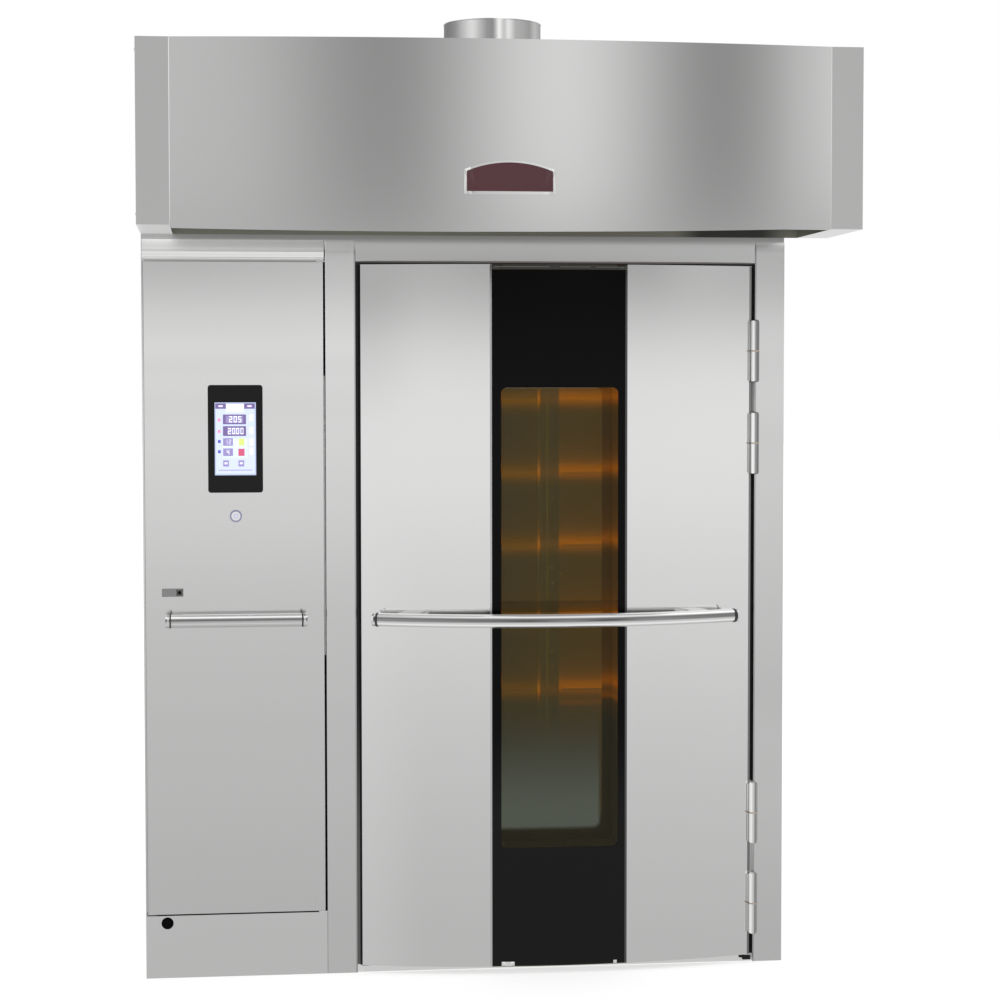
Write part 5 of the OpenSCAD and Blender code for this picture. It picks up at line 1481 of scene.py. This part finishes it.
flush_places, back_places = [], []
for z in (0.05, side_high.z - MARGIN):
    flush_places += row_inward(side_low.x, side_low.y + 0.05, side_high.y - 0.05, z, 9, LEFT)
    flush_places += row_inward(right_high.x, right_low.y + 0.05, right_high.y - 0.05, z, 9, RIGHT)
    back_places += row_across(back_low.x + 0.06, back_high.x - 0.06, back_high.y, z, 11, BACK)
for x, high, out in ((side_low.x, side_high, LEFT), (right_high.x, right_high, RIGHT)):
    flush_places += row_upward(x, high.y - MARGIN, 0.26, high.z - 0.18, out)
for x in (back_low.x + MARGIN, back_high.x - MARGIN):
    back_places += row_upward(x, back_high.y, 0.26, back_high.z - 0.18, BACK)
heads("side_screws", "oven_casing", flush_places, bright, flat_shape)
heads("back_screws", "oven_casing", back_places, bright)
hood_places = []
for z in (hood_low.z + 0.03, hood_high.z - 0.03):
    for x, out in ((hood_low.x, LEFT), (hood_high.x, RIGHT)):
        hood_places += row_inward(x, ends_low.y + 0.03, ends_high.y - 0.03, z, 4, out)
for y in (ends_low.y + 0.02, ends_high.y - 0.02):
    hood_places += row_across(hood_low.x + 0.05, hood_high.x - 0.05, y, hood_high.z, 13, SKY)
heads("hood_screws", "oven_casing", hood_places, bright, seed=11)
print(len(flush_places) + len(back_places) + len(hood_places), "screws")

# %% [markdown]
# ## Seams and covers
#
# Large walls are made of several sheets, and a flat cover strip hides each
# joint. The machine bay has a screwed access cover at the back, with pressed
# louvres above it that let warm air out. A louvre is a folded lip, open below.

# %% Cover the joints
BACK_JOINTS, ROOF_JOINTS = (513, 1170), (290, 1320)
strips = []
for y in (540, 1060):
    strips += [plate(at(x, y, 1150), out, 0.040, 2.22, 0.0010) for x, out in ((0, LEFT), (1829, RIGHT))]
strips += [plate(at(x, 1575, 1150), BACK, 0.040, 2.22, 0.0012) for x in BACK_JOINTS]
strips += [plate(at(914.5, y, 2300), SKY, 1.80, 0.040, 0.0012) for y in ROOF_JOINTS]
together("joint_strips", "oven_casing", strips, satin)
strip_places = []
for x in BACK_JOINTS:
    strip_places += row(at(x, 1576.2, 120), at(x, 1576.2, 2180), 9, BACK)
for y in ROOF_JOINTS:
    strip_places += row(at(60, y, 2301.2), at(1400, y, 2301.2), 9, SKY)
heads("strip_screws", "oven_casing", strip_places, bright, seed=3)
print(len(strips), "cover strips")

# %% Fit the rear access cover
cover = [plate(at(258, 1575, 760), BACK, 0.420, 0.940, 0.0020, 0.008, 0.0008),
         plate(at(258, 1577, 760), BACK, 0.360, 0.880, 0.0012, 0.02, 0.0008)]
together("access_cover", "oven_casing", cover, satin)
cover_places = []
for x in (60, 456):
    cover_places += row(at(x, 1577, 310), at(x, 1577, 1210), 6, BACK)
heads("access_screws", "oven_casing", cover_places, bright, seed=9)
grip = [at(228, 1578.2, 760), at(228, 1592, 760), at(288, 1592, 760), at(288, 1578.2, 760)]
show("access_grip", rod(grip, 0.004), "oven_casing", bright)


def louvres(name, feet, count, out, wide, reach=0.007, tall=0.013, pitch=34):
    """Columns of pressed lips, flat above and open below, upward from each foot."""
    outline = [(-0.0002, 0), (reach * 0.55, -tall * 0.25), (reach, -tall * 0.85), (reach, -tall),
               (reach - 0.001, -tall), (-0.0002, -tall * 0.5)]
    across = Vector(SKY).cross(Vector(out))
    turn = Matrix((Vector(out), Vector(SKY), -across)).transposed().to_4x4()
    shell = bmesh.new()
    for x, y, z in feet:
        for k in range(count):
            slab(shell, outline, Matrix.Translation(at(x, y, z + pitch * k)) @ turn, wide)
    show(name, closed(shell), "oven_casing", satin)


louvres("rear_louvres", [(80, 1575, 1620), (276, 1575, 1620)], 12, BACK, 0.160)
louvres("side_louvres", [(0, 610, 300), (0, 850, 300)], 10, LEFT, 0.180)
print("access cover and louvres done")

# %% [markdown]
# ## Machinery on the roof
#
# The blower motor stands on the roof, cooled by fins and a fan under a slotted
# cowl. The gear motor lies beside the bearing. Both have a terminal box, a
# cable gland and a conduit to the machine bay. The lift cylinder has square
# heads held together by tie rods, and two air hoses. The flue gets a flange
# where it leaves the roof and clamp bands at its bends.

# %% Fin the motors
BLOWER, DRIVE, HUB = at(256, 1130, 2300), at(1169.5, 780, 2346), at(1169.5, 630, 2300)


def fin_ring(middle, along, inner, outer, low, high, count, thick=0.0026):
    """Cooling fins that stand out all round a motor."""
    shell = bmesh.new()
    outline = [(inner, low), (outer - 0.003, low), (outer, low + 0.006), (outer, high - 0.006),
               (outer - 0.003, high), (inner, high)]
    for k in range(count):
        turn = Matrix.Rotation(2 * math.pi * k / count, 4, "Z") @ Matrix.Rotation(math.pi / 2, 4, "X")
        slab(shell, outline, facing(middle, along) @ turn @ Matrix.Translation((0, 0, -thick / 2)), thick)
    return closed(shell)


def cowl(middle, along, radius, low, high):
    """A fan cover with rings of wire over its mouth."""
    inner, outer = radius - 0.002, radius + 0.001
    profile = [(0, high - 0.006), (inner, high - 0.006), (inner, low), (radius, low), (outer, low + 0.003),
               (outer, high - 0.004), (inner, high), (radius - 0.010, high), (radius - 0.012, high - 0.004),
               (0, high - 0.004)]
    meshes = [lathe(profile, middle, along, 64)]
    put = facing(middle, along)
    for share in (0.2, 0.38, 0.56, 0.74):
        ring = [put @ Vector((u, w, high - 0.001)) for u, w in circle(40, share * radius)]
        meshes.append(rod(ring, 0.0012, 8, True))
    for u, w in circle(8, radius - 0.009)[:4]:
        meshes.append(rod([put @ Vector((u * way, w * way, high - 0.002)) for way in (-1, 1)], 0.0010, 8))
    return meshes


motor_parts = [
    fin_ring(BLOWER, SKY, 0.083, 0.094, 0.024, 0.186, 44),
    *cowl(BLOWER, SKY, 0.0760, 0.198, 0.2285),
    block_between(at(338, 1090, 2385), at(386, 1170, 2460), 0.003),
    plate(at(386, 1130, 2422), RIGHT, 0.068, 0.068, 0.004, 0.006, 0.001),
    fin_ring(DRIVE, BACK, 0.041, 0.049, 0.083, 0.147, 28, 0.0022),
    fin_ring(DRIVE, BACK, 0.044, 0.050, 0.152, 0.248, 28, 0.0022),
    *cowl(DRIVE, BACK, 0.0440, 0.252, 0.2840),
    block_between(at(1140, 945, 2386), at(1199, 1012, 2426), 0.003),
    plate(at(1169.5, 978.5, 2426), SKY, 0.050, 0.058, 0.003, 0.005, 0.001),
]
together("motor_fins", "oven_casing", motor_parts, enamel)
motor_places = []
for hub, count, start, reach, lift in ((BLOWER, 8, 0.39, 0.0905, 0.012), (HUB, 4, math.pi / 4, 0.088, 0.014)):
    for u, w in circle(count, 1, start):
        motor_places.append((hub + Vector((u, w, 0)) * reach + Vector((0, 0, lift)), SKY))
print(len(motor_parts), "motor parts")

# %% Feet, flanges and tie rods
CORNERS = [(-1, -1), (-1, 1), (1, -1), (1, 1)]
CYLINDER_FOOT = 2520
feet = []
for x in (999.5, 1339.5):
    feet.append(plate(at(x, 630, 2300), SKY, 0.072, 0.120, 0.006, 0.004, 0.001))
    motor_places += [(at(x + 26 * dx, 630 + 46 * dy, 2306), SKY) for dx, dy in CORNERS]
for z in (10, 64):
    feet.append(plate(at(1169.5, 630, CYLINDER_FOOT + z), SKY, 0.070, 0.070, 0.012, 0.006, 0.001))
for dx, dy in CORNERS:
    feet.append(rod([at(1169.5 + 27 * dx, 630 + 27 * dy, CYLINDER_FOOT + z) for z in (12, 80)], 0.0035))
together("bridge_feet", "oven_casing", feet, zinc)
heads("machine_bolts", "oven_casing", motor_places, bright, bolt_shape, 21)
FLUE_RINGS = [
    (420, 2300, SKY, 0.0605, 0.0900, 0.003), (420, 2303, SKY, 0.0605, 0.0640, 0.022),
    (420, 2338, SKY, 0.0602, 0.0625, 0.012), (338, 2430, FORWARD, 0.0602, 0.0625, 0.012),
    (0, 2430, BACK, 0.0605, 0.0880, 0.003), (3, 2430, BACK, 0.0605, 0.0640, 0.018),
]
flue = [tube(at(155, y, z), way, inner, outer, 0, tall) for y, z, way, inner, outer, tall in FLUE_RINGS]
together("flue_flanges", "oven_casing", flue, zinc)
flue_places = []
for across, along in circle(8, 77):
    flue_places += [(at(155 + across, 420 + along, 2303), SKY), (at(155 + across, 3, 2430 + along), BACK)]
heads("flue_screws", "oven_casing", flue_places, bright, seed=4)
skirt_sides = ((1437, 140, 0.026, 0.270), (1667, 140, 0.026, 0.270), (1552, 277, 0.256, 0.026))
skirt = [plate(at(x, y, 2300), SKY, wide, deep, 0.002) for x, y, wide, deep in skirt_sides]
together("vent_skirt", "oven_casing", skirt, zinc)
vent_places = []
VENT_ROWS = [((1437, 30), (1437, 250), 4), ((1667, 30), (1667, 250), 4), ((1470, 277), (1634, 277), 3)]
for start, end, count in VENT_ROWS:
    vent_places += row(at(*start, 2302), at(*end, 2302), count, SKY)
heads("vent_screws", "oven_casing", vent_places, bright, seed=6)
print("feet, flanges and tie rods done")


# %% Run the conduits
def piped(corners, bend, radius, sides=12):
    """A smooth pipe through corners in millimetres, with each bend rounded."""
    return rod(rounded_path([at(*corner) for corner in corners], bend), radius, sides)


def ribbed(corners, bend, radius, pitch=0.005):
    """A flexible conduit: a pipe whose width swells and shrinks along its line."""
    path = rounded_path([at(*corner) for corner in corners], bend)
    places, left = [path[0]], 0.0
    for one, two in zip(path, path[1:]):
        length, reach = (two - one).length, pitch / 2 - left
        while reach < length:
            places.append(one.lerp(two, reach / length))
            reach += pitch / 2
        left = length - (reach - pitch / 2)
    return rod(places, radius, widths=(0.86, 1.0))


def gland(place, way, size):
    """A six-sided cable gland."""
    body = [(0.016, 0.006), (0.013, 0.007), (0.013, 0.014), (0.0105, 0.018), (0, 0.018)]
    scaled = [(size * radius, size * height) for radius, height in body]
    return lathe([(0, -0.001), (0.016 * size, -0.001)] + scaled, at(*place), way, 6)


conduit_grey = plain_finish("conduit_grey", (0.05, 0.05, 0.055), 0.5, 200, 0.05, 0.0004)
thick_line = [(362, 1130, 2380), (362, 1130, 2330), (362, 1245, 2312), (470, 1245, 2312), (470, 1245, 2302)]
thin_line = [(1138, 978, 2406), (1090, 978, 2406), (1090, 978, 2312), (560, 978, 2312), (560, 978, 2302)]
conduits = [ribbed(thick_line, 0.022, 0.009), ribbed(thin_line, 0.030, 0.008)]
together("conduits", "oven_casing", conduits, conduit_grey)
hose_lines = [
    [(1204, 630, 2536), (1240, 630, 2536), (1240, 680, 2560), (1375, 680, 2560), (1375, 680, 2301)],
    [(1204, 630, 2590), (1260, 630, 2590), (1260, 690, 2575), (1390, 690, 2575), (1390, 690, 2301)],
]
hose_blue = plain_finish("hose_blue", (0.03, 0.09, 0.22), 0.35, 200, 0.02, 0.0002)
together("air_hoses", "oven_casing", [piped(line, 0.020, 0.0035) for line in hose_lines], hose_blue)
GLANDS = [
    ((362, 1130, 2385), DOWN, 1.0), ((1141, 978, 2406), LEFT, 0.85), ((470, 1245, 2300), SKY, 1.2),
    ((560, 978, 2300), SKY, 1.2), ((1204, 630, 2536), RIGHT, 0.5), ((1204, 630, 2590), RIGHT, 0.5),
    ((1375, 680, 2300), SKY, 0.6), ((1390, 690, 2300), SKY, 0.6),
]
together("glands", "oven_casing", [gland(*settings) for settings in GLANDS], bright)
print(len(conduits), "conduits,", len(hose_lines), "hoses,", len(GLANDS), "glands")

# %% [markdown]
# ## Behind the doors
#
# The machine bay holds the burner's fan and gas train and the control box with
# its cables. Inside the baking chamber each lamp lens sits in a screwed
# frame, and the door's inner glass is held by a frame of its own.

# %% Fit the burner
FIRE, FAN, FAN_MOTOR = at(260, 380, 300), at(196, 285, 330), at(320, 285, 330)
nose = [
    (0, 0.009), (0.080, 0.009), (0.080, 0.060), (0.060, 0.075), (0.060, 0.135), (0.052, 0.142),
    (0, 0.142),
]
fan = [(0, 0), (0.090, 0), (0.094, 0.004), (0.094, 0.062), (0.090, 0.066), (0, 0.066)]
fan_motor = [(0, 0), (0.048, 0), (0.048, 0.085), (0.043, 0.090), (0, 0.090)]
burner = [
    plate(FIRE, FORWARD, 0.240, 0.240, 0.010, 0.01, 0.001),
    lathe(nose, FIRE, FORWARD), lathe(fan, FAN, LEFT), lathe(fan_motor, FAN_MOTOR, RIGHT),
    fin_ring(FAN_MOTOR, RIGHT, 0.047, 0.053, 0.010, 0.074, 26, 0.0022),
]
together("burner_head", "oven_casing", burner, enamel)
burner_places = [(FIRE + Vector((u, -0.010, w)), FORWARD) for u, w in circle(8, 0.105)]
heads("burner_bolts", "oven_casing", burner_places, bright, bolt_shape, 8)
gas_brass = plain_finish("gas_brass", (0.55, 0.40, 0.16), 0.32, 100, 0.05, 0.0004, 1.0)
gas = [piped([(260, 270, 236), (260, 270, 160), (34, 270, 160)], 0.03, 0.0135, 16),
       block_between(at(95, 240, 138), at(165, 300, 186), 0.003)]
gas += [tube(at(x, 270, 160), RIGHT, 0.0130, 0.0200, -0.010, 0.010, 6) for x in (92, 168)]
together("gas_train", "oven_casing", gas, gas_brass)
print(len(burner) + len(gas), "burner parts")

# %% Close the control box and run its cables
knob = [(0, 0.0015), (0.011, 0.0015), (0.011, 0.0055), (0.009, 0.0070), (0, 0.0070)]
box_door = [plate(at(417, 90, 1300), FORWARD, 0.176, 0.780, 0.0020, 0.004, 0.0008)]
box_door += [lathe(knob, at(340, 90, z), FORWARD, 32) for z in (1010, 1590)]
together("control_box_door", "oven_casing", box_door, satin)
cable_gland = [(0, -0.001), (0.011, -0.001), (0.011, 0.006), (0.008, 0.012), (0, 0.012)]
cables, cable_glands = [], []
for k, x in enumerate((352, 384, 416)):
    y, z = 150 + 30 * k, 690 - 20 * k
    cables.append(piped([(x, y, 900), (x, y, z), (40, y, z), (40, y, 220)], 0.035, 0.0055))
    cable_glands.append(lathe(cable_gland, at(x, y, 900), DOWN, 6))
together("box_cables", "oven_casing", cables, rubber)
together("box_glands", "oven_casing", cable_glands, bright)
screen_box = [block_between(at(188, 2, 1378), at(329, 34, 1668), 0.003),
              plate(at(258.5, 34, 1523), BACK, 0.120, 0.260, 0.0015, 0.004, 0.0005)]
together("screen_box", "control_door", screen_box, enamel)
print(len(cables), "cables")

# %% Frame the lamps and the inner glass
lamp_outer, lamp_inner = box_outline(0.096, 0.176, 0.018), box_outline(0.073, 0.153, 0.0135)
frames, frame_places = [], []
for k in range(5):
    middle = at(1779, 235, 660 + 243 * k)
    frames.append(ring_plate(lamp_outer, lamp_inner, facing(middle, LEFT), 0.0035))
    frame_places += [(middle + Vector((-0.0035, 0.0425 * dy, 0.062 * dz)), LEFT) for dy, dz in CORNERS]
together("lamp_frames", "oven_casing", frames, bright)
heads("lamp_screws", "oven_casing", frame_places, bright, flat_shape, 12)
glass_frame = ring_plate(box_outline(0.386, 1.357, 0.03), box_outline(0.330, 1.301, 0.012),
                         facing(at(1168, 40, 1013.5), BACK), 0.0025)
show("inner_glass_frame", glass_frame, "oven_door", heated)
liner_places = []
for x in (989, 1347):
    liner_places += row(at(x, 42.5, 375), at(x, 42.5, 1652), 8, BACK)
for x in (690, 1650):
    liner_places += row(at(x, 40, 120), at(x, 40, 1900), 10, BACK)
heads("liner_screws", "oven_door", liner_places, heated, seed=13)
print("lamps and inner glass framed")

# %% Plug in the kick panel
plug_place = at(60, 0, 156)
plug = [
    (0, -0.004), (0.0125, -0.004), (0.0125, 0.0), (0.0145, 0.0), (0.0145, 0.0008), (0.0125, 0.0014),
    (0.0110, -0.0010), (0, -0.0016),
]
show("kick_plug", lathe(plug, plug_place, FORWARD, 40), "oven_casing", hole_black)
print("plug at", [round(v, 3) for v in plug_place])
